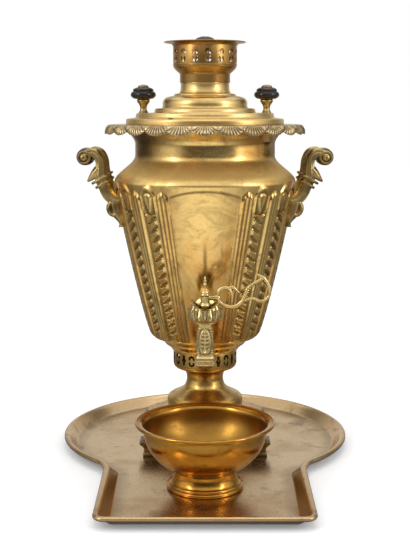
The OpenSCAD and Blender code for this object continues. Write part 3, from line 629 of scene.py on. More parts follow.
class CopyTree(Graph):
    """Geometry nodes that set copies of a piece in a ring or along a path.

    The piece that carries the modifier is the unit to copy.
    """

    def __init__(self, name: str) -> None:
        """Start a tree with its named inputs.

        Args:
            name: the node group's name.
        """
        super().__init__(bpy.data.node_groups.new(name, "GeometryNodeTree"))
        face = self.tree.interface
        face.new_socket("Geometry", in_out="INPUT", socket_type="NodeSocketGeometry")
        self.count = face.new_socket("Copies", in_out="INPUT", socket_type="NodeSocketInt")
        self.phase = face.new_socket("Phase", in_out="INPUT", socket_type="NodeSocketFloat")
        self.finish = face.new_socket("Finish", in_out="INPUT", socket_type="NodeSocketMaterial")
        self.path = face.new_socket("Path", in_out="INPUT", socket_type="NodeSocketObject")
        face.new_socket("Geometry", in_out="OUTPUT", socket_type="NodeSocketGeometry")
        self.given = self.add("NodeGroupInput").outputs

    def close(self, points: Socket, turn: Socket) -> "CopyTree":
        """End the tree: a copy at each point, made real, with joined seams and the finish.

        Args:
            points: where the copies stand.
            turn: how each is turned.

        Returns:
            This tree.
        """
        copies = self.add("GeometryNodeInstanceOnPoints", {
            "Points": points, "Instance": self.given["Geometry"], "Rotation": turn})
        real = self.add("GeometryNodeRealizeInstances", {"Geometry": copies.outputs[0]})
        seams = self.add("GeometryNodeMergeByDistance", {
            "Geometry": real.outputs["Geometry"], "Distance": SEAM})
        paint = self.add("GeometryNodeSetMaterial", {
            "Geometry": seams.outputs["Geometry"], "Material": self.given["Finish"]})
        self.add("NodeGroupOutput", {0: paint.outputs["Geometry"]})
        return self

    def ring(self) -> "CopyTree":
        """Copies turned round the Z axis, evenly.

        Returns:
            This tree.
        """
        points = self.add("GeometryNodeMeshLine", {
            "Offset": (0, 0, 0), "Count": self.given["Copies"]})
        index = self.add("GeometryNodeInputIndex").outputs[0]
        share = self.maths("DIVIDE", index, self.given["Copies"])
        angle = self.maths("MULTIPLY_ADD", share, TAU, self.given["Phase"])
        turn = self.add("ShaderNodeCombineXYZ", {"Z": angle})
        return self.close(points.outputs[0], turn.outputs[0])

    def along(self) -> "CopyTree":
        """Copies strung along a path, each turned to follow it.

        Returns:
            This tree.
        """
        route = self.add("GeometryNodeObjectInfo", {"Object": self.given["Path"]})
        points = self.add("GeometryNodeResampleCurve", {
            "Curve": route.outputs["Geometry"], "Count": self.given["Copies"]})
        run = self.add("GeometryNodeInputTangent").outputs[0]
        turn = self.add("FunctionNodeAlignRotationToVector", {"Vector": run}, axis="Z")
        return self.close(points.outputs[0], turn.outputs[0])

    def spread(self, unit: Piece, name: str, copies: int, finish: Material, phase: float = 0.0,
               path: Optional[Piece] = None, sharp: float = 40.0) -> Piece:
        """Copy a unit and bake the result to a plain mesh.

        Args:
            unit: the piece to copy; it is used up.
            name: name of the new piece.
            copies: how many.
            finish: material of the copies.
            phase: turn of the first copy, in radians.
            path: curve object to follow, where the tree needs one.
            sharp: edges over this angle in degrees stay crisp.

        Returns:
            The new piece.
        """
        set_out = unit.modifiers.new("copies", "NODES")
        set_out.node_group = self.tree
        set_out[self.count.identifier] = copies
        set_out[self.phase.identifier] = phase
        set_out[self.finish.identifier] = finish
        if path is not None:
            set_out[self.path.identifier] = path
        return baked(unit, name, sharp)


# ---------------------------------------- finishes
class Finish(Graph):
    """Material whose nodes are built from nothing."""

    def __init__(self, name: str) -> None:
        """Start a material without nodes.

        Args:
            name: the material's name.
        """
        self.material = bpy.data.materials.new(name)
        self.material.use_nodes = True
        super().__init__(self.material.node_tree)

    def show(self, shader: bpy.types.Node) -> None:
        """Make a shader the material's surface."""
        self.add("ShaderNodeOutputMaterial", {"Surface": shader.outputs[0]})


class Shader(Finish):
    """Material with one main shader, patterned on Object coordinates."""

    def __init__(self, name: str) -> None:
        """Start the material with its main shader.

        Args:
            name: the material's name.
        """
        super().__init__(name)
        self.main = self.add("ShaderNodeBsdfPrincipled")
        self.show(self.main)
        self.place = self.add("ShaderNodeTexCoord").outputs["Object"]

    def set(self, **values: object) -> None:
        """Give the main shader's inputs their values; a name's underscores stand for blanks."""
        for key, value in values.items():
            self.feed(self.main.inputs[key.replace("_", " ")], value)

    def noise(self, scale: float, detail: float = 4.0, rough: float = 0.55,
              stretch: Colour = (1, 1, 1), shift: float = 0.0, warp: float = 0.0) -> Socket:
        """Noise on the object's own coordinates.

        Args:
            scale: repeats per metre.
            detail: octaves.
            rough: weight of the fine octaves.
            stretch: scale along X, Y and Z.
            shift: moves the pattern, so that two noises differ.
            warp: how far the pattern is bent.

        Returns:
            The noise's value socket.
        """
        place = self.add("ShaderNodeMapping", {
            "Vector": self.place, "Scale": stretch, "Location": (shift, shift * 0.7, shift * 1.3)})
        return self.add("ShaderNodeTexNoise", {
            "Vector": place.outputs[0], "Scale": scale, "Detail": detail, "Roughness": rough,
            "Distortion": warp}).outputs["Fac"]

    def ramp(self, value: Socket, low: float, high: float) -> Socket:
        """Value stretched so that low gives 0 and high gives 1."""
        return self.add("ShaderNodeMapRange", {"Value": value, "From Min": low, "From Max": high},
                        interpolation_type="SMOOTHSTEP").outputs["Result"]

    def mixed(self, share: Socket, a: object, b: object) -> Socket:
        """Colour between two others.

        Args:
            share: how much of the second.
            a: the first, a colour or a socket.
            b: the second.

        Returns:
            The colour's socket.
        """
        a, b = ((*value, 1.0) if isinstance(value, tuple) else value for value in (a, b))
        return self.add("ShaderNodeMix", {"Factor": share, 6: a, 7: b}, data_type="RGBA").outputs[2]

    def over(self, below: Socket, share: Socket, weight: float, above: Colour) -> Socket:
        """Colour with another laid over it by a weighted share."""
        return self.mixed(self.maths("MULTIPLY", share, weight), below, above)

    def relief(self, parts: Sequence[tuple[Socket, float]]) -> None:
        """Bump from several heights.

        Args:
            parts: value socket and height in millimetres of each.
        """
        normal = None
        for height, tall in parts:
            node = self.add("ShaderNodeBump", {
                "Strength": 1.0, "Distance": tall * MM, "Height": height})
            if normal is not None:
                self.feed(node.inputs["Normal"], normal)
            normal = node.outputs["Normal"]
        self.set(Normal=normal)

    def attribute(self, name: str) -> Socket:
        """Value of a mesh attribute, 0 where the mesh has none."""
        return self.add("ShaderNodeAttribute", attribute_name=name).outputs["Fac"]


@dataclass(frozen=True)
class Brass:
    """Worn brass: clean metal, tarnish in patches, stains, and dirt with painted shade in the
    recesses.
    """

    name: str
    clean: Colour
    tarnish: Colour
    stain: Colour
    # Colour that both dirt and painted shade darken towards
    dirt: Colour = (0.045, 0.035, 0.02)
    tarnish_share: float = 0.5
    stain_share: float = 0.35
    patch: float = 16.0
    shine: float = 0.16
    dull: float = 0.36
    scratches: float = 0.012
    dents: float = 0.0
    cast: float = 0.0
    smear: float = 0.0
    streak: Colour = (1.0, 1.0, 1.0)
    shift: float = 0.0
    hollow_reach: float = 0.006

    def material(self) -> Material:
        """Build the finish's node material.

        Returns:
            The material.
        """
        s = Shader(self.name)
        patches = s.ramp(s.noise(self.patch, 5, 0.6, self.streak, self.shift, 0.6),
                         0.62 - 0.3 * self.tarnish_share, 0.78 - 0.2 * self.tarnish_share)
        patches = s.maths("MAXIMUM", patches, s.attribute("copper"))
        stains = s.ramp(s.noise(self.patch * 2.3, 6, 0.62, self.streak, self.shift + 3.1, 0.3),
                        0.66 - 0.25 * self.stain_share, 0.86 - 0.25 * self.stain_share)
        fine = s.noise(240, 5, 0.7, (1, 1, 1), self.shift + 1.7)
        smears = s.ramp(s.noise(17, 6, 0.6, (1, 1, 1.4), self.shift + 8.3, 4.2), 0.44, 0.66)
        smears = s.maths("MULTIPLY", smears, self.smear)
        # Satin polish, read from the mesh, also lifts the colour towards clean brass: a painted
        # sheen
        satin = s.attribute("dull")
        # Painted shade: ambient occlusion darkens the colour in recesses, on top of the dirt and
        # painted shade that the mesh carries
        hollow = s.add("ShaderNodeAmbientOcclusion", {"Distance": self.hollow_reach}, samples=6,
                       only_local=True)
        deep = s.ramp(hollow.outputs["AO"], 0.85, 0.35)
        dirt_and_ao_shade = s.maths("MAXIMUM", s.attribute("dirt_and_shade"), s.maths("MULTIPLY", deep, 0.75))
        colour = s.mixed(patches, self.clean, self.tarnish)
        for share, weight, above in ((stains, 0.8, self.stain),
                                     (s.ramp(fine, 0.35, 0.8), 0.22, self.stain),
                                     (smears, 0.6, self.stain), (satin, 0.75, self.clean)):
            colour = s.over(colour, share, weight, above)
        spread = self.dull - self.shine
        rough = s.maths("MULTIPLY_ADD", fine, spread * 0.7, self.shine)
        for share, weight in ((stains, spread * 0.6), (smears, 0.2), (satin, 0.38), (dirt_and_ao_shade, 0.3)):
            rough = s.maths("MULTIPLY_ADD", share, weight, rough)
        s.set(Base_Color=s.mixed(dirt_and_ao_shade, colour, self.dirt), Metallic=1.0, Roughness=rough)
        heights = [(s.noise(900, 3, 0.6, (1, 1, 0.12), self.shift), self.scratches),
                   (s.noise(500, 3, 0.6, (0.12, 0.12, 1), self.shift + 5), self.scratches)]
        if self.dents:
            heights.append((s.noise(38, 2, 0.5, (1, 1, 0.7), self.shift + 2), self.dents))
        if self.cast:
            heights.append((s.noise(420, 6, 0.65, (1, 1, 1), self.shift + 4), self.cast))
        s.relief(heights)
        return s.material


@dataclass(frozen=True)
class Lacquer:
    """Dark lacquered wood with faint grain and handling marks."""

    name: str
    dark: Colour = (0.012, 0.008, 0.007)
    warm: Colour = (0.045, 0.02, 0.012)

    def material(self) -> Material:
        """Build the finish's node material.

        Returns:
            The material.
        """
        s = Shader(self.name)
        grain = s.noise(260, 4, 0.6, (1, 0.12, 1), 2.0)
        s.set(Base_Color=s.mixed(s.ramp(grain, 0.45, 0.8), self.dark, self.warm),
              Roughness=s.maths("MULTIPLY_ADD", s.noise(120, 5, 0.7), 0.25, 0.12),
              Coat_Weight=0.2, Coat_Roughness=0.06, Specular_IOR_Level=0.3)
        s.relief([(grain, 0.03)])
        return s.material


@dataclass(frozen=True)
class Soot:
    """Fire-blackened iron with ash marks."""

    name: str
    iron: Colour = (0.018, 0.015, 0.013)
    ash: Colour = (0.10, 0.085, 0.07)

    def material(self) -> Material:
        """Build the finish's node material.

        Returns:
            The material.
        """
        s = Shader(self.name)
        marks = s.ramp(s.noise(70, 6, 0.65), 0.45, 0.75)
        s.set(Base_Color=s.mixed(marks, self.iron, self.ash), Metallic=0.6,
              Roughness=s.maths("MULTIPLY_ADD", marks, 0.25, 0.55))
        s.relief([(s.noise(320, 6, 0.7), 0.12)])
        return s.material


def finishes() -> dict[Slot, Material]:
    """Build the finish of every slot once.

    Returns:
        The material of each slot.
    """
    brasses = {
        Slot.WALL: Brass("urn_wall", (0.90, 0.64, 0.24), (0.82, 0.44, 0.11), (0.30, 0.19, 0.07),
                         dirt=(0.065, 0.04, 0.015), tarnish_share=0.55, stain_share=0.5, shine=0.1,
                         dull=0.27, dents=0.22, smear=0.55, streak=(1, 1, 0.45)),
        Slot.LID: Brass("lid", (0.80, 0.58, 0.24), (0.66, 0.43, 0.14), (0.40, 0.27, 0.10),
                        tarnish_share=0.45, stain_share=0.35, shine=0.26, dull=0.42, shift=7.0),
        Slot.CROWN: Brass("crown", (0.45, 0.27, 0.08), (0.44, 0.20, 0.055), (0.17, 0.105, 0.04),
                          tarnish_share=0.6, shine=0.24, dull=0.44, shift=4.0),
        Slot.SKIRT: Brass("skirt", (0.62, 0.47, 0.26), (0.42, 0.30, 0.145), (0.16, 0.115, 0.055),
                          dirt=(0.04, 0.028, 0.015), shine=0.2, dull=0.4, cast=0.05, shift=9.0),
        Slot.CAST: Brass("handles", (0.52, 0.38, 0.16), (0.27, 0.195, 0.08), (0.085, 0.07, 0.03),
                         tarnish_share=0.7, shine=0.24, dull=0.46, cast=0.12, patch=40.0,
                         shift=12.0),
        Slot.TAP: Brass("tap", (0.86, 0.66, 0.30), (0.60, 0.45, 0.18), (0.24, 0.21, 0.12),
                        dirt=(0.055, 0.065, 0.04), shine=0.2, dull=0.4, cast=0.07, patch=60.0,
                        shift=15.0),
        Slot.TRAY: Brass("tray", (0.72, 0.54, 0.32), (0.56, 0.37, 0.18), (0.26, 0.18, 0.10),
                         stain_share=0.5, shine=0.17, dull=0.34, patch=14.0, scratches=0.004,
                         shift=18.0),
        Slot.BOWL: Brass("bowl", (0.55, 0.28, 0.045), (0.45, 0.19, 0.03), (0.18, 0.095, 0.025),
                         dirt=(0.12, 0.08, 0.025), stain_share=0.3, shine=0.14, dull=0.28,
                         shift=21.0),
        Slot.BASE: Brass("base", (0.60, 0.385, 0.115), (0.44, 0.26, 0.075), (0.22, 0.135, 0.045),
                         shine=0.22, dull=0.4, shift=24.0),
        Slot.FEET: Brass("feet", (0.17, 0.11, 0.05), (0.11, 0.07, 0.035), (0.05, 0.035, 0.02),
                         tarnish_share=0.6, shine=0.25, dull=0.45, cast=0.1, shift=27.0),
    }
    made = {slot: finish.material() for slot, finish in brasses.items()}
    made[Slot.WOOD] = Lacquer("lacquered_wood").material()
    made[Slot.SOOT] = Soot("sooty_iron").material()
    return made


# ---------------------------------------- sub-assemblies
@dataclass
class Assembly:
    """What the sub-assemblies share: how a piece is finished and handed over."""

    materials: dict[Slot, Material]
    body = Body.SAMOVAR

    def dress(self, piece: Piece, slot: Slot, *nodes: str, body: Optional[Body] = None) -> Piece:
        """Finish a piece and hand it over.

        Args:
            piece: the piece.
            slot: its material slot.
            nodes: CAD nodes that it stands for.
            body: what it rides on, where that isn't the assembly's own body.

        Returns:
            The same piece.
        """
        piece.data.materials.clear()
        piece.data.materials.append(self.materials[slot])
        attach(piece, (body or self.body).value)
        if nodes:
            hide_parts(*nodes)
        LOG.info("%s: %d faces", piece.name, len(piece.data.polygons))
        return piece

    def turned(self, name: str, outline: Sequence[Point2], slot: Slot, node: str,
               body: Optional[Body] = None, **form: object) -> None:
        """Turn an outline round an upright axis, finish the piece and hand it over.

        Args:
            name: the piece's name.
            outline: corners as (radius, height over z), closed on itself.
            slot: the piece's material slot.
            node: CAD node that it stands for.
            body: what it rides on, where that isn't the assembly's own body.
            form: what else the lathe is told.
        """
        self.dress(lathe(name, outline, **form), slot, node, body=body)

    def carry(self, slot: Slot, *nodes: str) -> None:
        """Give CAD nodes that stay their finish.

        Args:
            slot: the nodes' material slot.
            nodes: the nodes' names.
        """
        for node in nodes:
            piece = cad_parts[node]
            piece.data.materials.clear()
            piece.data.materials.append(self.materials[slot])


@dataclass
class Tray(Assembly):
    """Keyhole tray: round part, front extension, sloping wall and rolled bead."""

    radius: float = 171.5
    root_half: float = 112.0
    front_half: float = 110.0
    front: float = 293.0
    root_y: float = -100.0
    corner: float = 13.0
    arc_steps: int = 240
    side_steps: int = 24
    section: tuple[Point2, ...] = (
        (-30, 0), (-17.2, 0), (-6.6, 9.6), (-4.4, 8.9), (-1.4, 9.0), (0, 10.6), (-0.1, 12.6),
        (-1.8, 13.9), (-4.4, 13.9), (-6.8, 12.2), (-16.4, 2.6), (-30, 1.6))
    body = Body.TRAY

    def side_x(self, y: float, d: float) -> float:
        """Half width of the extension at y, moved out by d."""
        slope = (self.root_half - self.front_half) / (self.front + self.root_y)
        return self.root_half + d + (y - self.root_y) * slope

    def outline(self, d: float) -> Array:
        """Outline in plan, moved out by d.

        Args:
            d: how far outside the tray's widest line.

        Returns:
            Closed outline from the right notch round the back.
        """
        r, y = self.radius + d, self.root_y
        for _ in range(20):
            y = -math.sqrt(r * r - self.side_x(y, d) ** 2)
        start = math.atan2(y, self.side_x(y, d))
        turn = np.linspace(start, math.pi - start, self.arc_steps + 1)
        arc = np.stack([r * np.cos(turn), r * np.sin(turn)], 1)
        c = max(self.corner + d, 2.0)
        centre = np.array([self.front_half + d - c, -(self.front + d - c)])
        a = np.linspace(0, -math.pi / 2, 11)
        corner = centre + c * np.stack([np.cos(a), np.sin(a)], 1)
        t = np.linspace(0, 1, self.side_steps + 1)[1:-1, None]
        half = np.vstack([arc[0] + (corner[0] - arc[0]) * t, corner])
        flip = np.array([-1, 1])
        front = np.linspace(corner[-1], corner[-1] * flip, self.side_steps + 1)[1:-1]
        return self.eased_notches(np.vstack([arc, half * flip, front[::-1], half[::-1]]))

    def eased_notches(self, loop: Array, reach: float = 9.0) -> Array:
        """Round the two inner corners of the outline.

        Args:
            loop: the outline.
            reach: how far from a corner the rounding is felt.

        Returns:
            The rounded outline.
        """
        notches = loop[[0, self.arc_steps]]
        near = np.max([np.exp(-(np.linalg.norm(loop - c, axis=1) / reach) ** 2)
                       for c in notches], axis=0)[:, None]
        for _ in range(24):
            loop = loop + near * 0.5 * ((np.roll(loop, 1, 0) + np.roll(loop, -1, 0)) / 2 - loop)
        return loop

    def build(self) -> None:
        """Make the tray."""
        section = [np.array(q, float) for q in self.section]
        profile = [section[0]]
        for before, here, after in zip(section, section[1:], section[2:]):
            a, b = (here + (q - here) * min(0.4, 3.0 / np.linalg.norm(q - here))
                    for q in (before, after))
            profile += bend(a, here, b, 4)
        profile.append(section[-1])
        shape = np.array([[(*q, z) for q in self.outline(d)] for d, z in profile])
        # The profile starts below and turns over at its widest point; the underside and the outer
        # wall below the bead get a painted shadow
        under = np.arange(len(profile)) < np.argmax([d for d, _ in profile]) - 2
        piece = solid("tray_sheet", *rings(shape, caps=True), sharp=50,
                      dirt_and_shade=np.repeat(0.9 * under, shape.shape[1]))
        mark(piece, "copper", lambda x, y, z: 0.75 * rise(z, 2.4, 2.5))
        # Painted shade along the crease where the floor meets the wall
        mark(piece, "dirt_and_shade", lambda x, y, z: 0.35 * bump(z - 2.6, 0.9))
        self.dress(piece, Slot.TRAY, "tray")


@dataclass
class DripBowl(Assembly):
    """Footed bowl below the tap."""

    at: Point2 = (0.0, -170.0)
    wall_r: float = 66.0
    low: float = 14.2
    mid: float = 66.4
    gauge: float = 1.6
    bead: Point2 = (73.0, 72.8)
    bead_r: float = 1.6
    body = Body.BOWL

    def build(self) -> None:
        """Make the bowl and its foot."""
        a = np.radians(np.linspace(-90, 0, 40))
        deep = self.mid - self.low
        side = [(self.wall_r * math.cos(q), self.mid + deep * math.sin(q)) for q in a]
        lip = curve([side[-1], (66.7, 69.2), (68.8, 71.6), (72.0, 72.4)], 4)[1:]
        skin = plate([*side, *lip], self.gauge)
        n = len(skin) // 2
        r, z = self.bead
        bead = [(r + self.bead_r * math.sin(q), z - self.bead_r * math.cos(q))
                for q in np.radians(np.linspace(-10, 250, 16))]
        piece = lathe("bowl_shell", [*skin[:n], *bead, *skin[n:]], at=self.at, turns=192, ease=0)
        mark(piece, "dirt_and_shade", self.dull_inside)
        self.dress(piece, Slot.BOWL, "drip_bowl")
        foot = [(40.3, 1.6), (41.3, 2.4), (41.4, 4.6), (40.2, 5.9), (38.9, 6.5), (38.9, 7.5),
                *curve([(38.4, 8.2), (36.6, 9.8), (35.2, 12.4), (33.9, 16.4), (33.2, 21.0)], 4),
                (31, 20.0), (32.6, 13.0), (36.8, 7), (38, 1.6)]
        self.turned("bowl_foot", foot, Slot.BOWL, "drip_bowl_foot", at=self.at)

    def dull_inside(self, x: Array, y: Array, z: Array) -> Array:
        """How brown the inner face is.

        Args:
            x: place of each point.
            y: place of each point.
            z: height of each point.

        Returns:
            Values from 0 to 1.
        """
        r = np.hypot(x - self.at[0], y - self.at[1])
        depth = np.clip(self.mid - z, 0, None) / (self.mid - self.low)
        face = self.wall_r * np.sqrt(np.clip(1 - depth ** 2, 0, 1)) - self.gauge * 0.4
        return 0.42 * ((r < face) & (z < self.mid + 3) & (z > self.low + 0.8))


@dataclass
class Base(Assembly):
    """Feet, square plinth, waisted pedestal, pierced air collar and grate."""

    plinth_top: float = 46.8
    height: float = 44.8
    collar_z: float = 91.6
    collar_r: float = 38.4
    collar_h: float = 23.2
    holes: int = 22
    holes_down: float = 8.5

    def build(self) -> None:
        """Make the base."""
        self.dress(from_node("base_feet", bevel=0.8), Slot.FEET, "base_feet")
        self.dress(from_node("base_plinth", bevel=0.6), Slot.BASE, "base_plinth")
        outer = curve(scaled([(45.5, 0), (45.9, 0.1), (43.5, 0.25), (32.3, 0.38), (25, 0.5),
                              (22.3, 0.66), (22, 0.76), (23.6, 0.89), (27.8, 0.965), (31, 1)],
                             1, self.height), 6)
        outer[:, 1] += self.plinth_top
        self.turned("pedestal_shell", plate(outer, 1.8), Slot.BASE, "pedestal", ease=0)
        self.collar()
        self.carry(Slot.SOOT, "ash_grate", "fire_tube")

    def collar(self) -> None:
        """Make the band below the urn, pierced to let air to the fire."""
        z, r, top = self.collar_z, self.collar_r, self.collar_z + self.collar_h
        outer = [*curve([(r - 7.4, z), (r - 3, z + 1.6), (r - 0.6, z + 4.4), (r, z + 7.2)], 4),
                 (r, top - 0.6), (r - 0.2, top)]
        shell = lathe("collar_shell", plate(outer, 1.6), turns=176, ease=0)
        ring = CopyTree("ring_of_cuts").ring()
        step = TAU / self.holes
        tools = [ring.spread(cutters(outlines, r, top - self.holes_down, name), name + "_cut",
                             self.holes // 2, self.materials[Slot.BASE], phase)
                 for name, outlines, phase in (
                     ("crescents", crescents(3.9, 1.4, 2.8, 124), step / 2),
                     ("slots", waisted_slot(3.7, 13.0), -step / 2))]
        piece = pierced(shell, tools, "air_collar_pierced")
        # The inner face is painted near black: painted shade, seen through the holes
        mark(piece, "dirt_and_shade", lambda x, y, h: 1.0 * (np.hypot(x, y) < r - 0.8) * (h > z + 6))
        self.dress(piece, Slot.BASE, "air_collar")


@dataclass
class Vessel(Assembly):
    """Embossed urn wall and the floor pan below it."""

    low_z: float = 134.3
    cone_h: float = 184.0
    shoulder_h: float = 26.0
    neck_h: float = 38.0
    low_r: float = 63.0
    shoulder_r: float = 107.0
    neck_r: float = 82.4
    top_r: float = 92.0
    gauge: float = 1.6
    columns: int = 14
    rib_h: float = 2.4
    spoon_h: float = 2.0
    panel: Point2 = (17.4, 23.0)
    rib_half: float = 4.4
    rungs: int = 14
    rung_zone: Point2 = (7.0, 150.0)
    rib_wide: float = 0.2
    cone_bow: float = 0.845
    shoulder_ease: float = 4.0
    flare: Point2 = (0.48, 0.5)
    sunk: float = 0.8
    inside_grime: float = 0.8
    pan_z: float = 114.8

    def wall_r(self, h: Array) -> Array:
        """Radius of the plain wall.

        Args:
            h: heights above the wall's lower edge.

        Returns:
            The radius at each height.
        """
        start, run = (self.neck_h * share for share in self.flare)
        share = np.clip(h, 0, self.cone_h) / self.cone_h
        slope = rise(h, self.cone_h, self.shoulder_h + self.shoulder_ease)
        return (self.low_r + (self.shoulder_r - self.low_r) * share ** self.cone_bow
                + (self.neck_r - self.shoulder_r) * slope
                + (self.top_r - self.neck_r) * rise(h, self.cone_h + self.shoulder_h + start, run))

    def panel_a(self, h: Array) -> Array:
        """Half angle of the plain front panel at height h."""
        return self.panel[0] + (self.panel[1] - self.panel[0]) * np.clip(h / self.cone_h, 0, 1)

    def rows(self) -> Array:
        """Heights of the wall's rows.

        Returns:
            Heights above the wall's lower edge, going up.
        """
        shoulder, neck = self.cone_h + 2, self.cone_h + self.shoulder_h
        low, high = self.rung_zone
        return np.concatenate([np.linspace(0, low, 6, False), np.linspace(low, high, 132, False),
                               np.linspace(high, shoulder, 24, False),
                               np.linspace(shoulder, neck, 11, False),
                               np.linspace(neck, neck + self.neck_h, 14)])

    def lines(self) -> tuple[Array, Array, Array]:
        """Upright lines of the wall, from the front's middle round to it again.

        Returns:
            For each line its side, its place across the panel from 0 to 1, and its place in the
            pattern, counted in columns and not a number on the panel.
        """
        plain = np.sin(np.linspace(0, 1, 17) * math.pi / 2)
        per = np.concatenate([np.linspace(0, 0.2, 7, False), np.linspace(0.2, 0.8, 17, False),
                              np.linspace(0.8, 1, 7, False)])
        half = self.columns // 2
        place = np.concatenate([np.linspace(-0.2, 0, 8)[1:-1]] + [k + per for k in range(half)]
                               + [[half]])
        m, n = len(plain), len(place)
        side = np.concatenate([np.ones(m + n), -np.ones(n - 1 + m - 1)])
        across = np.concatenate([plain, np.ones(n + n - 1), plain[:0:-1]])
        pattern = np.concatenate([np.full(m, np.nan), place, place[-2::-1], np.full(m - 1, np.nan)])
        return side, across, pattern

    def flutes(self, f: Array, h: Array) -> tuple[Array, Array]:
        """Three rounded flutes of a rib group.

        Args:
            f: place in the pattern.
            h: height above the wall's lower edge.

        Returns:
            Height in millimetres and painted shade in the valleys.
        """
        x = np.minimum(f % 1, 1 - f % 1) / self.rib_wide
        inside = smooth((1.02 - x) / 0.14)
        wave = np.abs(np.cos(1.5 * math.pi * x))
        body = rise(h, -1.2, 2.4) * fall(h, self.cone_h - 13 - 7 * x ** 2, 8)
        # Painted shade in the valleys between the flutes
        valley_shade = np.clip(1 - wave * 2.2, 0, 1) * inside * body
        return self.rib_h * inside * (0.4 + 0.6 * wave ** 0.7) * body, 0.55 * valley_shade

    def spoons(self, f: Array, h: Array) -> tuple[Array, Array]:
        """Column of slanted rungs under a tapered head.

        Args:
            f: place in the pattern.
            h: height above the wall's lower edge.

        Returns:
            Height in millimetres and painted shade in the slots and the head's hollows.
        """
        low, high = self.rung_zone
        x = ((f % 1) - 0.5) / (0.2 + 0.085 * rise(h, high - 4, 14))
        inside = smooth((1 - np.abs(x)) / 0.14)
        # The pitch and the slant grow from the lower to the upper rungs
        share = np.clip((h - low) / (high - low), 0, 1)
        phase = self.rungs * (share * 1.12 - 0.12 * share ** 2) + (0.22 + 0.3 * share) * x
        gap = np.abs((phase % 1) - 0.5) * 2
        thick = (0.42 - 0.26 * x) * np.sqrt(np.clip(1 - (x / 1.02) ** 2, 0, 1))
        slot = smooth((thick - gap) / 0.26 + 0.5) * rise(h, low, 2) * (h < high) * inside
        rungs = (0.72 + 0.28 * smooth(gap) - slot) * inside * rise(h, -1, 3)
        # The head: an arched band round a wedge that narrows downwards
        crown = high + 32 - 11 * x ** 2
        head = rise(h, high - 1, 4) * fall(h, crown, 3)
        reach = 0.05 + 0.56 * np.clip((h - high) / 22, 0, 1)
        wedge = smooth((reach - np.abs(x)) / 0.14 + 0.3) * fall(h, crown - 8.5, 2.5)
        band = np.clip(rise(np.abs(x), 0.70, 0.12) + rise(h, crown - 5.5, 2), 0, 1)
        tip = bump(h - high - 1.5, 1.6)
        form = np.maximum(wedge * (1.0 - 0.35 * bump(x, 0.1)), 1.05 * band) - 0.5 * tip
        height = np.where(h > high, form * head * inside, rungs)
        # Painted shade in the slots between the rungs and in the head's hollows
        hollow = np.where(h > high, (np.clip(1 - wedge - band, 0, 1) + tip) * head, slot)
        return self.spoon_h * height, 0.62 * np.clip(hollow, 0, 1) * inside

    def relief(self, across: Array, pattern: Array, h: Array) -> tuple[Array, Array]:
        """Relief of the wall at each point of its grid.

        Args:
            across: place across the panel, from 0 to 1.
            pattern: place in the pattern, not a number on the panel.
            h: height above the wall's lower edge.

        Returns:
            Height in millimetres and how dark each point is painted: painted shade in the relief's
            hollows, dirt and painted shade along the panel's edges, and a painted reflection up its
            middle.
        """
        plain = np.isnan(pattern)
        f = np.where(plain, 0.0, pattern)
        rib, rib_shade = self.flutes(f, h)
        spoon, spoon_shade = self.spoons(f, h)
        # The panel lies a little deeper below its arch, with dirt and painted shade along the arch
        # and its edges, and a painted reflection of the tap's finial, a dark streak, up its middle
        arch = self.cone_h - 14 + 7.5 * (1 - across ** 2)
        sunk = self.sunk * fall(h, arch, 2.2) * smooth((0.985 - across) / 0.03)
        line = bump(h - arch - 1.0, 1.3) * (across < 0.99)
        edge = bump(across - 0.97, 0.016) * (h < arch)
        painted_reflection = bump(across, 0.035) * rise(h, 60, 20) * fall(h, 104, 26)
        return (np.where(plain, -sunk, rib + spoon),
                np.clip(np.where(plain, 0.7 * line + 0.6 * edge + 0.6 * painted_reflection,
                                 rib_shade + spoon_shade), 0, 1))

    @staticmethod
    def old_stain(x: Array, y: Array, z: Array) -> Array:
        """Brown stains of the neck's left and its far right, and a darker band round the urn's
        foot.

        Args:
            x: place of each point.
            y: place of each point.
            z: height of each point.

        Returns:
            How stained each point is.
        """
        a = azimuth(x, y)
        neck = rise(z, 338, 14)
        return (0.92 * bump(a + 58, 25) + 0.8 * bump(a - 80, 16)) * neck + 0.25 * bump(z - 136, 9)

    def satin(self, x: Array, y: Array, z: Array) -> Array:
        """How dull the polish is, with its colour lifted towards clean brass as a painted sheen:
        most on the shoulder's slope.
        """
        return bump(z - self.low_z - self.cone_h - 14, 13)

    @staticmethod
    def copper(x: Array, y: Array, z: Array) -> Array:
        """Copper-coloured wear beside the neck's middle, low on the panel and down the ribs.

        Args:
            x: place of each point.
            y: place of each point.
            z: height of each point.

        Returns:
            How coppery each point is.
        """
        a = azimuth(x, y)
        neck = bump(a - 42, 17) * rise(z, 336, 10) * fall(z, 372, 6)
        low = (bump(a - 12, 4.5) + bump(a + 14, 3.5)) * rise(z, 140, 20) * fall(z, 190, 26)
        ribs = 0.55 * bump(np.abs(a) - 25, 5) + 0.5 * bump(np.abs(a) - 62, 9)
        return np.clip(neck + 0.85 * low + ribs * fall(z, 300, 20), 0, 1)

    def build(self) -> None:
        """Make the wall and the floor pan."""
        side, across, pattern = self.lines()
        h = self.rows()[:, None]
        panel = self.panel_a(h)
        first = panel + self.rib_half
        turn = np.where(np.isnan(pattern), across * panel,
                        first + np.nan_to_num(pattern) * (180 - first) / (self.columns / 2))
        height, dirt = self.relief(across, pattern, h + 0 * across)
        outer = around(self.wall_r(h) + height, np.radians(side * turn), self.low_z + h)
        inner_h = np.concatenate([np.linspace(self.rows()[-1], self.cone_h, 14, False),
                                  np.linspace(self.cone_h, 0, 7)])[:, None]
        inner = around(self.wall_r(inner_h) - self.gauge * 1.1, np.radians(side * turn[:1]),
                       self.low_z + inner_h)
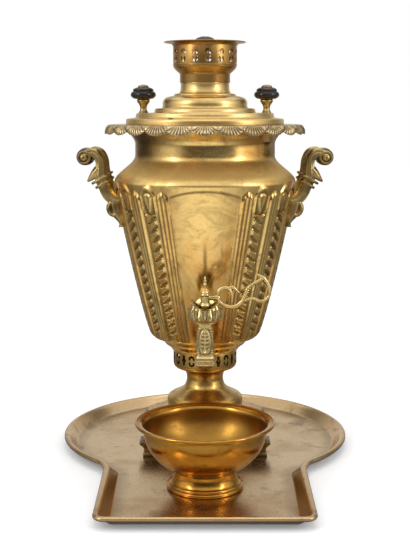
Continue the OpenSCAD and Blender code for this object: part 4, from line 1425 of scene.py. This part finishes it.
        # The inner face gets painted shade
        dirt_and_shade = np.concatenate([dirt, np.full(inner.shape[:2], self.inside_grime)])
        piece = solid("urn_wall", *rings(np.concatenate([outer, inner]), closed_along=True),
                      sharp=60, dirt_and_shade=dirt_and_shade, merge=DOUBLE)
        for name, rule in (("dirt_and_shade", self.old_stain), ("copper", self.copper),
                           ("dull", self.satin)):
            mark(piece, name, rule)
        self.dress(piece, Slot.WALL, "vessel_wall")
        pan = [(30.5, 0), (38.6, 0), (39.6, 0.4), (40.6, 1.2), (41.2, 2.6), (43.8, 5.2),
               (46.9, 7.2), (48.4, 8.4), (49.6, 10.6), (52.4, 12.9), (55.9, 14.6), (59.2, 16.0),
               (62.0, 17.2), (62.9, 18.4), (63.0, 19.5), (61.2, 19.5), (60.4, 18.2), (54, 16.2),
               (47.6, 11.8), (45.4, 9.2), (41.4, 6.4), (38, 2.4), (30.5, 1.8)]
        self.turned("urn_pan", pan, Slot.WALL, "vessel_floor", z=self.pan_z)


@dataclass
class Skirt(Assembly):
    """Flat ring with a hanging edge of fluted shells."""

    shells: int = 26
    flutes: int = 7
    inner_r: float = 81.4
    ring_r: float = 111.4
    outer_r: float = 117.6
    drop: float = 10.8
    top_z: float = 384.5
    gauge: float = 2.2

    def section(self, p: float) -> tuple[Array, Array]:
        """Section of the skirt.

        Args:
            p: place across a shell, from -1 to 1.

        Returns:
            Closed outline as (radius, height under the ring) and its painted shade in the flutes'
            valleys.
        """
        hang = self.drop * (0.34 + 0.66 * math.sqrt(max(0.0, 1 - p * p)))
        v = np.linspace(0, 1, 15)
        spread = 0.34 + 0.66 * v
        ridge = np.where(np.abs(p) < spread, np.abs(np.cos(p / spread * math.pi * self.flutes / 2)),
                         0.75 * rise(np.abs(p), spread, 0.1))
        fade = np.sin(math.pi * np.clip(v * 0.8 + 0.12, 0, 1))
        edge = 1.3 * (1 - p * p) * np.sin(math.pi * v * 0.6)
        radius = (self.ring_r + (self.outer_r - self.ring_r - 1.3) * np.sin(v * math.pi / 2) ** 1.2
                  + 1.25 * ridge * fade + edge - 0.4)
        height = -(hang + 0.5 * ridge) * (1 - np.cos(v * math.pi / 2)) ** 0.85
        outer = np.stack([np.minimum(radius, self.outer_r + 0.3), height], 1)
        lip = [(self.inner_r, 0), (self.ring_r - 3.5, 0), (self.ring_r - 1.8, -0.15)]
        back = [(self.outer_r - 2.4, -hang), (self.outer_r - 3.2, -hang * 0.55),
                (self.ring_r - 1.2, -3.6), (self.ring_r - 4.4, -self.gauge),
                (self.inner_r, -self.gauge)]
        # Painted shade in the valleys between the flutes
        valley_shade = np.clip(1.4 - 1.9 * ridge, 0, 0.95) * fade
        return np.array([*lip, *outer, *back]), np.concatenate([np.zeros(3), valley_shade, np.zeros(5)])

    def build(self) -> None:
        """Make one shell and set it round the rim."""
        shape, dirt_and_shade = [], []
        for p in np.linspace(-1, 1, 57):
            outline, dirt = self.section(float(p))
            dirt_and_shade.append(dirt)
            shape.append(around(outline[:, 0], p * math.pi / self.shells,
                                self.top_z + outline[:, 1]))
        unit = solid("shell_unit", *rings(np.array(shape)), sharp=60, dirt_and_shade=np.array(dirt_and_shade))
        piece = CopyTree("ring_of_shells").ring().spread(
            unit, "rim_shells", self.shells, self.materials[Slot.SKIRT], sharp=65)
        self.dress(piece, Slot.SKIRT, "rim_skirt")


@dataclass
class Lid(Assembly):
    """Stepped lid with its collar and two turned knobs."""

    base_z: float = 384.5
    sleeve_z: float = 421.1
    knob_x: float = 72.3
    knob_z: float = 397.9
    knob_r: float = 14.8
    knob_h: float = 14.2
    stem_h: float = 15.4
    body = Body.LID

    def build(self) -> None:
        """Make the lid."""
        outline = [(92.8, 0.0), (92.8, 5.2), (91.6, 6.7), (83.4, 7.6), (81.4, 8.2), (81, 9.8),
                   (80.9, 12.2), (79.6, 13.4), (60.4, 13.4), (59.4, 14.4), (59, 17.4), (57.4, 18.5),
                   (51, 18.9), (49.7, 20.2), (49.6, 22.4), (49.8, 24.4), (49.1, 27.2), (47.6, 29.6),
                   (45, 31.3), (41.4, 32.3), (37.2, 33.0), (36.1, 33.6), (36.2, 34.4), (35.2, 35.3),
                   (31.2, 36.0), (30, 36.6), (26.2, 36.6), (26.2, 35.2), (34.4, 33.4), (34.6, 32.2),
                   (41, 30.9), (45.2, 29), (47.6, 26.6), (48.3, 24), (48.2, 20.2), (49.8, 17.6),
                   (57, 17.1), (57.8, 16.2), (58, 12), (78.8, 12), (79.6, 11), (79.6, -5), (81, -5),
                   (81, 5.9), (91, 5.2), (91.4, 0.0)]
        self.turned("lid_shell", outline, Slot.LID, "lid", z=self.base_z, turns=208, ease=0.9)
        sleeve = [(26.4, 0), (29.8, 0), (29.8, 1), (28.9, 2.1), (28.5, 6), (28.4, 10.2),
                  (28.6, 11.0), (28.4, 11.6), (26.4, 11.6)]
        self.turned("lid_collar", sleeve, Slot.LID, "lid_sleeve", z=self.sleeve_z, ease=0.4)
        self.carry(Slot.CAST, "steam_vent")
        self.carry(Slot.LID, "knob_nuts")
        for side in Side:
            self.knob(side)

    def knob(self, side: Side) -> None:
        """Make one knob: stem, lacquered wood and cap.

        Args:
            side: where it stands.
        """
        at, top = (side.value * self.knob_x, 0.0), self.stem_h
        stem = [(0, -6), (1.7, -6), (1.7, 0), (5.4, 0), (5.5, 0.9), (4.9, 1.7), (4.2, 2.9),
                (3.8, 5), (4.1, 7.4), (4.9, 9.4), (6.4, 11.4), (7.3, 12.6), (7.6, 14), (7.2, top),
                (1.7, top), (1.7, 31), (0, 31)]
        h, z = self.knob_h, self.knob_z + top
        side_line = scaled([(0.55, 0.03), (0.8, 0.10), (0.97, 0.26), (1, 0.40), (0.95, 0.56),
                            (0.83, 0.65), (0.80, 0.70), (0.83, 0.76), (0.74, 0.88),
                            (0.55, 0.97), (0.42, 1)], self.knob_r, h)
        wood = [(1.8, 0), (6.6, 0), *curve(side_line, 5), (1.8, h)]
        cap = [(0, 0), (6.2, 0), (6.4, 0.7), (5.9, 1.5), (4.6, 2.2), (2.6, 2.8), (0, 3)]
        for node, outline, slot, foot, turns, ease in (
                ("knob_stem_", stem, Slot.CAST, self.knob_z, 64, 0.5),
                ("knob_", wood, Slot.WOOD, z, 96, 0.3),
                ("knob_cap_", cap, Slot.CAST, z + h, 64, 0.3)):
            node += side.word
            self.turned(node + "_turned", outline, slot, node, z=foot, at=at, turns=turns,
                        ease=ease)


@dataclass
class Crown(Assembly):
    """Pierced crown that carries a teapot, and the damper under it."""

    rim_z: float = 475.1
    rim_h: float = 4.4
    drum_z: float = 432.7
    drum_r: float = 37.2
    drum_h: float = 42.4
    neck_r: float = 29.4
    holes: int = 15
    rod_z: float = 447.8
    grip_z: float = 472.5
    grip_r: float = 12.8
    grip_h: float = 13.0
    body = Body.CROWN

    def build(self) -> None:
        """Make the crown and the damper."""
        self.drum()
        h = self.rim_h
        rim = [(35.8, 0), (37.8, 0), (38.6, h * 0.4), (43, h * 0.62), (47.2, h - 1.1),
               (48, h - 0.5), (47.6, h), (45, h), (43, h - 0.5), (37.6, h * 0.72),
               (35.8, h * 0.6)]
        self.turned("crown_rim", rim, Slot.CROWN, "crown_flange", z=self.rim_z, turns=192)
        rod = [(0, 0), (4.6, 0), (4.6, 1.2), (3.2, 2.2), (2.6, 4), (2.4, 12), (2.8, 22),
               (4.6, 24.2), (5, 24.7), (0, 24.7)]
        self.turned("damper_rod", rod, Slot.CAST, "damper_stem", Body.DAMPER,
                    z=self.rod_z, turns=48)
        h = self.grip_h
        grip = [(0, 0), (5, 0), *curve(scaled([(0.6, 0.03), (0.86, 0.16), (1, 0.4), (0.97, 0.62),
                                               (0.74, 0.86), (0.36, 1)], self.grip_r, h), 5),
                (0, h)]
        self.turned("damper_grip", grip, Slot.WOOD, "damper_knob", Body.DAMPER,
                    z=self.grip_z, turns=72, ease=0.3)
        self.carry(Slot.SOOT, "damper_cap")

    def drum(self) -> None:
        """Make the crown's drum, pierced with pairs of crescents."""
        z, r, neck, h = self.drum_z, self.drum_r, self.neck_r, self.drum_h
        outer = [(neck, 0), (neck, h * 0.21), *curve([(neck + 0.4, h * 0.25), (r - 4.4, h * 0.31),
                 (r - 0.8, h * 0.4), (r - 0.2, h * 0.46)], 4), (r + 0.5, h * 0.473),
                 (r + 0.4, h * 0.487), (r - 0.2, h * 0.5), (r, h * 0.53), (r, h)]
        inner = [(r - 1.4, h), (r - 1.4, h * 0.46), (r - 2.2, h * 0.4), (r - 5.6, h * 0.33),
                 (neck - 1.4, h * 0.26), (neck - 1.4, 1.4), (26.8, 1.4), (26.8, -6), (28.0, -6),
                 (28.0, 0)]
        shell = lathe("drum_shell", [*outer, *inner], z, turns=180, ease=0.2)
        tool = CopyTree("ring_of_crescents").ring().spread(
            cutters(crescents(3.7, 1.0, 3.85, 146), r, z + h * 0.52 + 8.4, "crown_crescents"),
            "crown_cuts", self.holes, self.materials[Slot.CROWN], math.radians(6))
        piece = pierced(shell, [tool], "crown_drum_pierced")
        mark(piece, "copper", self.worn_neck)
        self.dress(piece, Slot.CROWN, "crown_drum")

    @staticmethod
    def worn_neck(x: Array, y: Array, z: Array) -> Array:
        """Copper-coloured wear on the right of the drum's neck."""
        return 0.8 * bump(azimuth(x, y) - 36, 20) * fall(z, 440, 4)


@dataclass
class Handles(Assembly):
    """Scrolled cast brackets with a turned grip between each pair."""

    grip_x: float = 140.4
    grip_z: float = 347.0
    bracket_y: float = 26.0
    grip_r: float = 10.4
    boss_w: float = 8.0
    root_x: float = 101.4

    def bracket(self) -> list[Form]:
        """Shape one right-hand bracket, centred on y = 0.

        Returns:
            Its overlapping solids.
        """
        x, z = self.grip_x, self.grip_z
        main = [(-41.8, -49.6, 5.6, 4.4), (-36, -49.4, 6.2, 4.8), (-30.6, -46.4, 6.8, 5.0),
                (-26.4, -41, 6.9, 5.2), (-23.6, -34.8, 6.9, 5.2), (-20.6, -27, 7.2, 5.2),
                (-18.8, -20, 7.0, 5.0), (-19.0, -12.5, 5.8, 4.6), (-18.6, -5, 5.3, 4.4),
                (-15.6, 2.2, 5.0, 4.2), (-9.8, 5.6, 5.0, 4.1), (-4, 4.2, 4.8, 4.1),
                (0, 0, 4, 3.9)]
        horn = [(-17, -14, 5.4, 4.6), (-13, -18.4, 5.0, 4.4), (-9.4, -22.6, 3.9, 3.7),
                (-6.2, -25.8, 2.4, 2.8), (-3.8, -28, 1.0, 1.6)]
        drop = [(4.6, -5, 5.0, 4.4), (3.6, -10, 5.8, 4.8), (2.4, -15.5, 6.4, 4.8),
                (-0.4, -21.5, 5.6, 4.6), (-2.8, -27, 3.6, 3.8), (-4.2, -31, 2.9, 3.4),
                (-4.6, -34.8, 4.2, 3.8)]
        curl = [(7.6, -5, 2.0, 3.8), (10.8, -10.5, 2.9, 4.8), (9.8, -17, 3.2, 5.2),
                (5.6, -21, 2.6, 4.8), (2.4, -18.6, 1.8, 5.0)]
        grip, arm = (x, z), (self.root_x, z - 46)
        forms = [flat_sweep(curve(np.array(route) + (*start, 0, 0), steps), sides, *flutes)
                 for route, start, steps, sides, flutes in (
                     (main, grip, 6, 28, (7, 0.075)), (horn, grip, 5, 20, (5, 0.06)),
                     (drop, arm, 6, 24, (5, 0.08)), (curl, arm, 5, 16, ()))]
        turn = full_turn(40)
        for r, lo, hi, at, lean in ((10.2, -1.7, 1.5, (x - 21.6, z - 30.6), 30),
                                    (11.8, -1.6, 1.5, (x - 18.8, z - 25.0), 29)):
            ring = [(0, lo), (r - 0.8, lo), (r, lo + 0.8), (r, hi - 0.8), (r - 0.8, hi), (0, hi)]
            forms.append(self.disc(ring, turn, at, lean))
        boss = [(0, -4.6), (2.6, -4.6), (3.2, -3.2), (4.6, -3.0), (5.6, -4.2), (7.0, -4.2),
                (7.9, -3), (7.9, 3), (7.0, 4.2), (5.6, 4.2), (4.6, 3.0), (3.2, 3.2), (2.6, 4.6),
                (0, 4.6)]
        forms.append(rings(along_y(np.array(boss), turn, x, z)))
        return forms

    @staticmethod
    def disc(outline: Sequence[Point2], turn: Array, at: Point2, lean: float) -> Form:
        """Ring moulding that leans with the arm.

        Args:
            outline: corners as (radius, height along the arm).
            turn: angles of the points of a ring.
            at: place in the X-Z plane.
            lean: turn of the moulding in degrees.

        Returns:
            Points and faces.
        """
        q = np.array(outline, float)
        c, s = math.cos(math.radians(lean)), math.sin(math.radians(lean))
        x, y, z = q[:, :1] * np.cos(turn), q[:, :1] * np.sin(turn) * 0.62, q[:, 1:] + 0 * turn
        return rings(np.stack([at[0] + c * x + s * z, y, at[1] - s * x + c * z], 2))

    def build(self) -> None:
        """Make both handles."""
        for side in Side:
            forms = []
            for y in (-self.bracket_y, self.bracket_y):
                for points, faces in self.bracket():
                    moved = (points + (0, y, 0)) * (side.value, 1, 1)
                    if side is Side.LEFT:
                        faces = [face[::-1] for face in faces]
                    forms.append((moved, faces))
            piece = fused(f"handle_{side.word}_cast", forms, voxel=0.4)
            self.dress(piece, Slot.CAST, f"handle_brackets_{side.word}")
            self.grip(side)
            self.carry(Slot.CAST, f"handle_spindle_{side.word}")

    def grip(self, side: Side) -> None:
        """Make one turned wood grip.

        Args:
            side: which handle it belongs to.
        """
        r, half = self.grip_r, self.bracket_y - self.boss_w / 2
        outline = curve([(2.7, -half), (r - 3, -half), (r - 2.2, 2 - half), (r - 0.8, 4 - half),
                         (r - 1.9, 6.6 - half), (r - 0.9, 12 - half), (r, 0),
                         (r - 0.9, half - 12), (r - 1.9, half - 6.6), (r - 0.8, half - 4),
                         (r - 2.2, half - 2), (r - 3, half), (2.7, half)], 5)
        shape = along_y(outline, full_turn(72), side.value * self.grip_x, self.grip_z)
        self.dress(solid(f"grip_{side.word}_turned", *rings(shape, closed_along=True)), Slot.WOOD,
                   f"handle_grip_{side.word}")


@dataclass
class Tap(Assembly):
    """Leaf cup, relief spout, plug, scrolled key and finial."""

    at: Point2 = (0.0, -120.0)
    housing_z: float = 169.5
    hub_z: float = 189.1
    hub_h: float = 14.0
    outlet_z: float = 123.4
    shank_z: float = 180.0
    leaves: int = 8
    leaf_t: float = 1.3
    spout_sides: int = 160
    spout_power: int = 7
    strands: int = 9
    strand_r: float = 0.72

    def build(self) -> None:
        """Make the tap."""
        core = [(0, 0), (9.0, 0), (10.0, 0.5), (12.2, 0.9), (12.8, 1.8), (12.0, 2.7),
                (13.6, 3.1), (14.6, 4.2), (13.8, 5.3), (12.6, 6), (12.0, 9), (10.8, 13),
                (8.9, 16.4), (8.4, 17.0), (6.9, 17.0), (6.9, 2), (0, 2)]
        cup = lathe("tap_cup", core, self.housing_z, self.at, 96)
        # Painted shade on the cup's top, down among the leaves
        mark(cup, "dirt_and_shade", lambda x, y, z: 0.55 * rise(z - self.housing_z, 8, 4))
        self.dress(cup, Slot.TAP, "tap_body")
        self.cup_leaves()
        self.shank()
        self.dress(from_node("tap_washer", bevel=0.3), Slot.TAP, "tap_washer")
        self.carry(Slot.BASE, "tap_back_nut")
        self.spout()
        self.carry(Slot.BASE, "tap_plug")
        self.key()
        self.finial()

    def cup_leaves(self) -> None:
        """Make the leaves that stand round the cup and curl out at their tips."""
        tall = self.leaf("tap_cup_leaves", [
            (12.0, 4.6), (14.4, 5.4), (15.9, 8.0), (16.2, 12), (15.4, 16), (14.0, 20), (13.0, 23),
            (13.3, 25.2), (14.8, 26), (16.0, 24.8)], 6.6, math.pi / self.leaves)
        # The leaves at the sides stand tallest, so that the hub shows between them
        foot = self.housing_z * MM
        for vertex in tall.data.vertices:
            x, y, z = vertex.co
            low = 0.72 + 0.28 * abs(math.sin(math.atan2(x, -y))) ** 3
            vertex.co.z = foot + (z - foot) * low
        short = self.leaf("tap_cup_tips", [
            (14.6, 5.4), (16.6, 6.6), (17.6, 9.4), (17.8, 12.2), (17.4, 14.6), (17.6, 16.4),
            (18.8, 17.2), (19.6, 16.0)], 4.4, 0.0)
        for piece in (tall, short):
            self.shift(piece)
            self.dress(piece, Slot.TAP)

    def leaf(self, name: str, route: Sequence[Point2], width: float, phase: float) -> Piece:
        """Ring of leaves round the Z axis.

        Args:
            name: the ring's name.
            route: the leaf's middle line as (radius, height over the cup's lower edge).
            width: half width at its widest.
            phase: turn of the first leaf, in radians.

        Returns:
            The ring, not yet finished.
        """
        u = np.linspace(-1, 1, 15)
        path = curve(route, 3)
        v = np.linspace(0, 1, len(path))[:, None]
        half = width * np.sqrt(np.clip(np.sin(math.pi * (0.2 + 0.8 * v)), 0, 1)) + 0.3
        groove = bump(np.abs(u) - 0.46, 0.17) * rise(v, 0.12, 0.1)
        sheets = []
        for offset in (0.0, -self.leaf_t):
            r = path[:, :1] + offset + 1.3 * (1 - u ** 2) - 1.1 * groove
            sheets.append(around(r, half * u / np.maximum(r, 1), self.housing_z + path[:, 1:]))
        loop = np.concatenate([sheets[0], sheets[1][:, ::-1]], 1)
        # Painted shade in the grooves, along the edges and on the inner faces
        dirt = np.concatenate([0.8 * groove + 0.6 * np.abs(u) ** 6, 0.55 + 0 * groove], 1)
        unit = solid("leaf_unit", *rings(loop, caps=True), sharp=60, dirt_and_shade=dirt)
        return CopyTree("ring_of_leaves").ring().spread(unit, name, self.leaves,
                                                        self.materials[Slot.TAP], phase)

    def shift(self, piece: Piece) -> None:
        """Move a piece drawn round the Z axis to the tap's axis, in its mesh."""
        piece.data.transform(Matrix.Translation((self.at[0] * MM, self.at[1] * MM, 0)))

    def shank(self) -> None:
        """Make the moulded shank between the urn and the cup, along Y."""
        outline = [(0, 60), (7.5, 60), (7.5, 80), (8.8, 81), (9.2, 83), (8.2, 85), (7.4, 87),
                   (7.6, 93), (8.8, 97), (10.0, 100), (10, 106), (0, 106)]
        piece = lathe("tap_shank", outline, turns=64)
        piece.data.transform(Matrix.Translation((0, 0, self.shank_z * MM))
                             @ Matrix.Rotation(math.pi / 2, 4, "X"))
        self.dress(piece, Slot.TAP)

    def spout(self) -> None:
        """Make the square spout that flares downwards, with an ornament on its faces."""
        low, n, k = self.outlet_z, self.spout_sides, self.spout_power
        z = np.concatenate([np.linspace(low, low + 11, 12, False),
                            np.linspace(low + 11, self.housing_z, 66)])[:, None]
        h = z - low
        half = np.interp(h, [0, 0.8, 7.2, 8.2, 9.4, 10.2, 11, 30, 46],
                         [10.2, 10.6, 9.9, 10.8, 10.8, 9.6, 9.3, 8.0, 7.2])
        c, s = np.cos(full_turn(n)), np.sin(full_turn(n))
        unit = (np.abs(c) ** k + np.abs(s) ** k) ** (-1 / k)
        # Place across each face, from -1 to 1
        across = np.where(np.abs(s) > np.abs(c), c * unit, s * unit)
        up = h - 12.5
        zone = (up > 0) * (up < 29)
        oval = np.sqrt((across / 0.72) ** 2 + ((up - 14.5) / 13.5) ** 2)
        ring = bump(oval - 0.92, 0.13)
        veins = 0.5 + 0.5 * np.cos(1.5 * up - 5.5 * np.abs(across))
        leaf = np.maximum(0.85 * veins * smooth((0.8 - oval) / 0.12),
                          bump(across, 0.1) * (oval < 0.84))
        swag = bump(oval - 1.45, 0.2) * (0.6 + 0.4 * np.cos(2.4 * up))
        raised = zone * (0.9 * ring + 1.0 * leaf + 0.8 * swag)
        bore = np.array([(3.0, self.housing_z), (3.0, low + 5), (6.0, low + 5), (6.0, low)])
        radius = np.concatenate([half * unit + raised, np.repeat(bore[:, :1], n, 1)])
        shape = np.stack(np.broadcast_arrays(radius * c, radius * s,
                                             np.concatenate([z, bore[:, 1:]])), 2)
        # Painted shade in the hollows round the ornament and inside the bore
        dirt_and_shade = np.concatenate([np.clip(zone * 0.8 * (1 - raised / 0.8), 0, 1),
                                np.full((len(bore), n), 0.6)])
        piece = solid("tap_spout_cast", *rings(shape, closed_along=True), sharp=50, dirt_and_shade=dirt_and_shade)
        self.shift(piece)
        self.dress(piece, Slot.TAP, "tap_spout")

    def key(self) -> None:
        """Make the key: hub, running scrolls, leaves and a stretch of rope twist."""
        routes = [
            [(3, 9.2, 2.4), (11.5, 9.4, 2.8), (14.4, 9.4, 2.4), (15.8, 5, 2.0), (20.5, 1, 2.1),
             (28, -1, 2.2), (35.4, 0.8, 2.2), (40.7, 5.6, 2.1), (44.2, 12.8, 2.0),
             (46.8, 19.4, 2.0), (53, 24.6, 1.7), (60, 28.6, 1.9), (66, 32, 1.0)],
            [(14.4, 9.4, 1.9), (14.2, 14, 2.0), (17.2, 18.8, 2.1), (22.6, 20.4, 2.1),
             (27.4, 17.6, 1.8), (29.8, 12, 1.3), (29.4, 4.5, 0.9)],
            [(24, 20.2, 1.2), (30.5, 20.6, 2.1), (34.4, 17.4, 1.5), (38, 14.4, 0.5)],
            [(43, 6, 1.0), (49, 8.2, 1.7), (54.5, 7.8, 1.8), (59.5, 5.4, 1.9), (65.5, 6.6, 1.9),
             (70, 11.4, 1.8), (70.8, 17.6, 1.8), (69, 24, 1.8), (64, 30.6, 2.2),
             (56.5, 35.6, 0.7)],
        ]
        forms = []
        for route in routes:
            path = curve([(x, z, r, r * 0.9) for x, z, r in route], 6)
            path[:, 1] += self.hub_z
            forms.append(flat_sweep(path, 16))
        h = self.hub_h
        hub = [(2.6, 0), (6.4, 0), (6.6, 1.4), (5.8, 2.8), (5.0, 3.6), (4.9, h - 3),
               (5.8, h - 1.6), (5.4, h), (2.6, h)]
        q, turn = np.array(eased(hub, 0.4)), full_turn(48)
        forms.append(rings(np.stack([q[:, :1] * np.cos(turn), q[:, :1] * np.sin(turn),
                                     self.hub_z + q[:, 1:] + 0 * turn], 2), closed_along=True))
        piece = fused("tap_key_cast", forms, voxel=0.3)
        self.shift(piece)
        self.dress(piece, Slot.TAP, "tap_key", body=Body.TAP)
        self.rope()

    def rope(self) -> None:
        """Make the rope twist round the key's stem, set along its path with geometry nodes."""
        path = curve([(44.9, 15), (46.8, 19.4), (53, 24.6), (60, 28.6), (63, 30.2)], 6)
        line = bpy.data.curves.new("rope_path", "CURVE")
        line.dimensions = "3D"
        run = line.splines.new("POLY")
        run.points.add(len(path) - 1)
        for point, (x, z) in zip(run.points, path):
            point.co = (x * MM, 0, (self.hub_z + z) * MM, 1)
        route = link("rope_path", line)
        turn, tube = full_turn(20)[:, None], full_turn(8)
        r = 2.25 + self.strand_r * np.cos(tube)
        shape = np.stack(np.broadcast_arrays(
            r * np.cos(turn), r * np.sin(turn),
            self.strand_r * np.sin(tube) + 0.55 * r * np.cos(turn)), 2)
        unit = solid("strand_unit", *rings(shape, closed_along=True), sharp=60)
        piece = CopyTree("strands_along").along().spread(unit, "tap_key_rope", self.strands,
                                                         self.materials[Slot.TAP], path=route)
        bpy.data.objects.remove(route)
        self.shift(piece)
        self.dress(piece, Slot.TAP, body=Body.TAP)

    def finial(self) -> None:
        """Make the turned finial over the hub."""
        outline = [(0, 0), (4.7, 0), (4.9, 1.2), (4.3, 2.4), (3.2, 3.2), (3.0, 3.9), (3.3, 4.4),
                   (2.6, 5.0), (1.5, 5.6), (1.5, 7.6), (2.2, 9.2), (2.3, 10.4), (1.6, 11.6),
                   (1.7, 12.6), (1.5, 14), (0.9, 17.4), (0.6, 19), (0, 19.4)]
        self.turned("tap_finial_turned", outline, Slot.TAP, "tap_finial", Body.TAP,
                    z=self.hub_z + self.hub_h, at=self.at, turns=48, ease=0.25)


# ---------------------------------------- studio
class Studio:
    """Camera, white surroundings, lamps and the cards that shape the reflections."""

    SENSOR = 36.0
    LENS = 94.16
    CAMERA = (0.0, -1.2756, 0.4032)
    TILT = 80.98
    AIM = (0, 0, 0.28)
    TABLE = 6.0
    CARD_RING = 1.75

    def build(self) -> None:
        """Set up the whole studio."""
        scene = bpy.context.scene
        scene.view_settings.view_transform = "Standard"
        lens = bpy.data.cameras.new("camera")
        lens.sensor_fit = "HORIZONTAL"
        lens.sensor_width = self.SENSOR
        lens.lens = self.LENS
        camera = link("camera", lens)
        camera.location = self.CAMERA
        camera.rotation_euler = (math.radians(self.TILT), 0, 0)
        scene.camera = camera
        self.world(scene)
        self.floor()
        self.lamp("key_left", (-1.2, -0.9, 1.0), self.AIM, (0.3, 0.9), 5)
        self.lamp("fill_right", (1.25, -0.8, 0.8), self.AIM, (0.25, 0.9), 4)
        self.lamp("top", (0.1, 0.1, 1.9), (0, 0, 0.3), (1.2, 1.2), 4)
        self.cards()

    @staticmethod
    def world(scene: bpy.types.Scene) -> None:
        """Plain white surroundings, as bright as white paper for every kind of surface.

        Args:
            scene: what they surround.
        """
        world = bpy.data.worlds.new("surroundings")
        world.use_nodes = True
        graph = Graph(world.node_tree)
        white = graph.add("ShaderNodeBackground", {"Color": (1, 1, 1, 1), "Strength": 1.0})
        graph.add("ShaderNodeOutputWorld", {"Surface": white.outputs[0]})
        scene.world = world

    @staticmethod
    def staged(name: str, points: Sequence[Sequence[float]], faces: Faces, finish: Finish) -> Piece:
        """Piece that belongs to the stage.

        Args:
            name: the piece's name.
            points: its corners in metres.
            faces: indices of each face's corners.
            finish: its material.

        Returns:
            The piece.
        """
        mesh = bpy.data.meshes.new(name)
        mesh.from_pydata(points, [], faces)
        mesh.materials.append(finish.material)
        piece = link(name, mesh)
        return piece

    def floor(self) -> None:
        """White table that keeps the object's shadow."""
        white = Finish("table_white")
        matt = white.add("ShaderNodeBsdfDiffuse", {"Color": (0.86, 0.86, 0.86, 1)})
        glow = white.add("ShaderNodeEmission", {"Strength": 0.16})
        white.show(white.add("ShaderNodeAddShader", {0: matt.outputs[0], 1: glow.outputs[0]}))
        e = self.TABLE
        self.staged("table", [(-e, -e, 0), (e, -e, 0), (e, e, 0), (-e, e, 0)], [(0, 1, 2, 3)],
                    white)

    @staticmethod
    def lamp(name: str, place: Sequence[float], aim: Sequence[float], size: Point2,
             power: float) -> None:
        """White rectangular lamp.

        Args:
            name: the lamp's name.
            place: where it stands, in metres.
            aim: the point that it looks at.
            size: its width and height.
            power: in watts.
        """
        light = bpy.data.lights.new(name, "AREA")
        light.shape = "RECTANGLE"
        light.size, light.size_y = size
        light.energy = power
        lamp = link(name, light)
        lamp.location = place
        lamp.rotation_euler = (Vector(aim) - Vector(place)).to_track_quat("-Z", "Y").to_euler()

    @staticmethod
    def glow(az: Array, z: Array) -> Array:
        """Brightness of the standing cards.

        Args:
            az: azimuth in degrees from the camera.
            z: height in metres.

        Returns:
            One value for each place.
        """
        band = rise(z, 0.02, 0.3) * fall(z, 1.15, 0.35)
        sides = 0.95 * bump(az + 67, 30) + 1.0 * bump(az - 65, 29)
        back = bump(np.abs(az) - 180, 48) * fall(z, 0.7, 0.6)
        level = 0.24 + sides * band + 0.6 * back
        level = level - 0.16 * bump(az + 118, 18) - 0.16 * bump(az - 118, 18)
        level = level + 0.62 * rise(z, 0.68, 0.12) * bump(az, 75)
        rig = smooth((46 - np.abs(az - 6)) / 4) * rise(z, 0.04, 0.03) * fall(z, 0.64, 0.1)
        return np.clip(level * (1 - 0.7 * rig), 0.02, 1.5)

    @staticmethod
    def table_glow(az: Array, reach: Array) -> Array:
        """Brightness of the cards on the table, dimmer near the middle: a painted shadow of the
        object, for the metal's reflections.

        Args:
            az: azimuth in degrees from the camera.
            reach: distance from the middle in metres.

        Returns:
            One value for each place.
        """
        front = bump(az + 6, 56)
        back = bump(np.abs(az) - 180, 60)
        # Dimmer near the middle: a painted shadow of the object, seen only in the metal
        near = 0.45 + 0.55 * rise(reach, 0.33, 0.16)
        return 0.12 + (0.98 * front + 0.4 * back) * smooth((1.9 - reach) / 0.8) * near

    def cards(self) -> None:
        """Ring of soft cards, unseen by the camera, for the metal's light and dark bands."""
        az = np.linspace(-180, 180, 121)[:-1]
        up = np.concatenate([np.linspace(0, 0.9, 25), np.linspace(0.95, 1.6, 12)])
        out = np.linspace(0.06, 1.7, 22)
        reach = np.concatenate([out, np.full(len(up), self.CARD_RING)])[:, None]
        z = np.concatenate([np.full(len(out), 0.0015), up + 0.002])[:, None]
        points, faces = rings(around(reach, np.radians(az), z))
        level = np.vstack([self.table_glow(az, reach[:len(out)]), self.glow(az, z[len(out):])])
        light = Finish("card_glow")
        strength = light.add("ShaderNodeAttribute", attribute_name="glow").outputs["Fac"]
        light.show(light.add("ShaderNodeEmission", {
            "Color": (1.0, 0.96, 0.90, 1), "Strength": strength}))
        ring = self.staged("card_ring", points.tolist(), faces, light)
        write(ring.data, "glow", level)
        ring.visible_camera = False
        ring.visible_shadow = False
        ring.visible_diffuse = False


def main() -> None:
    """Build the scene and hand it over."""
    logging.basicConfig(level=logging.INFO, format="%(name)s: %(message)s")
    materials = finishes()
    for assembly in (Tray, DripBowl, Base, Vessel, Skirt, Lid, Crown, Handles, Tap):
        assembly(materials).build()
    Studio().build()
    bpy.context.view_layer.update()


if __name__ == "__main__":
    main()
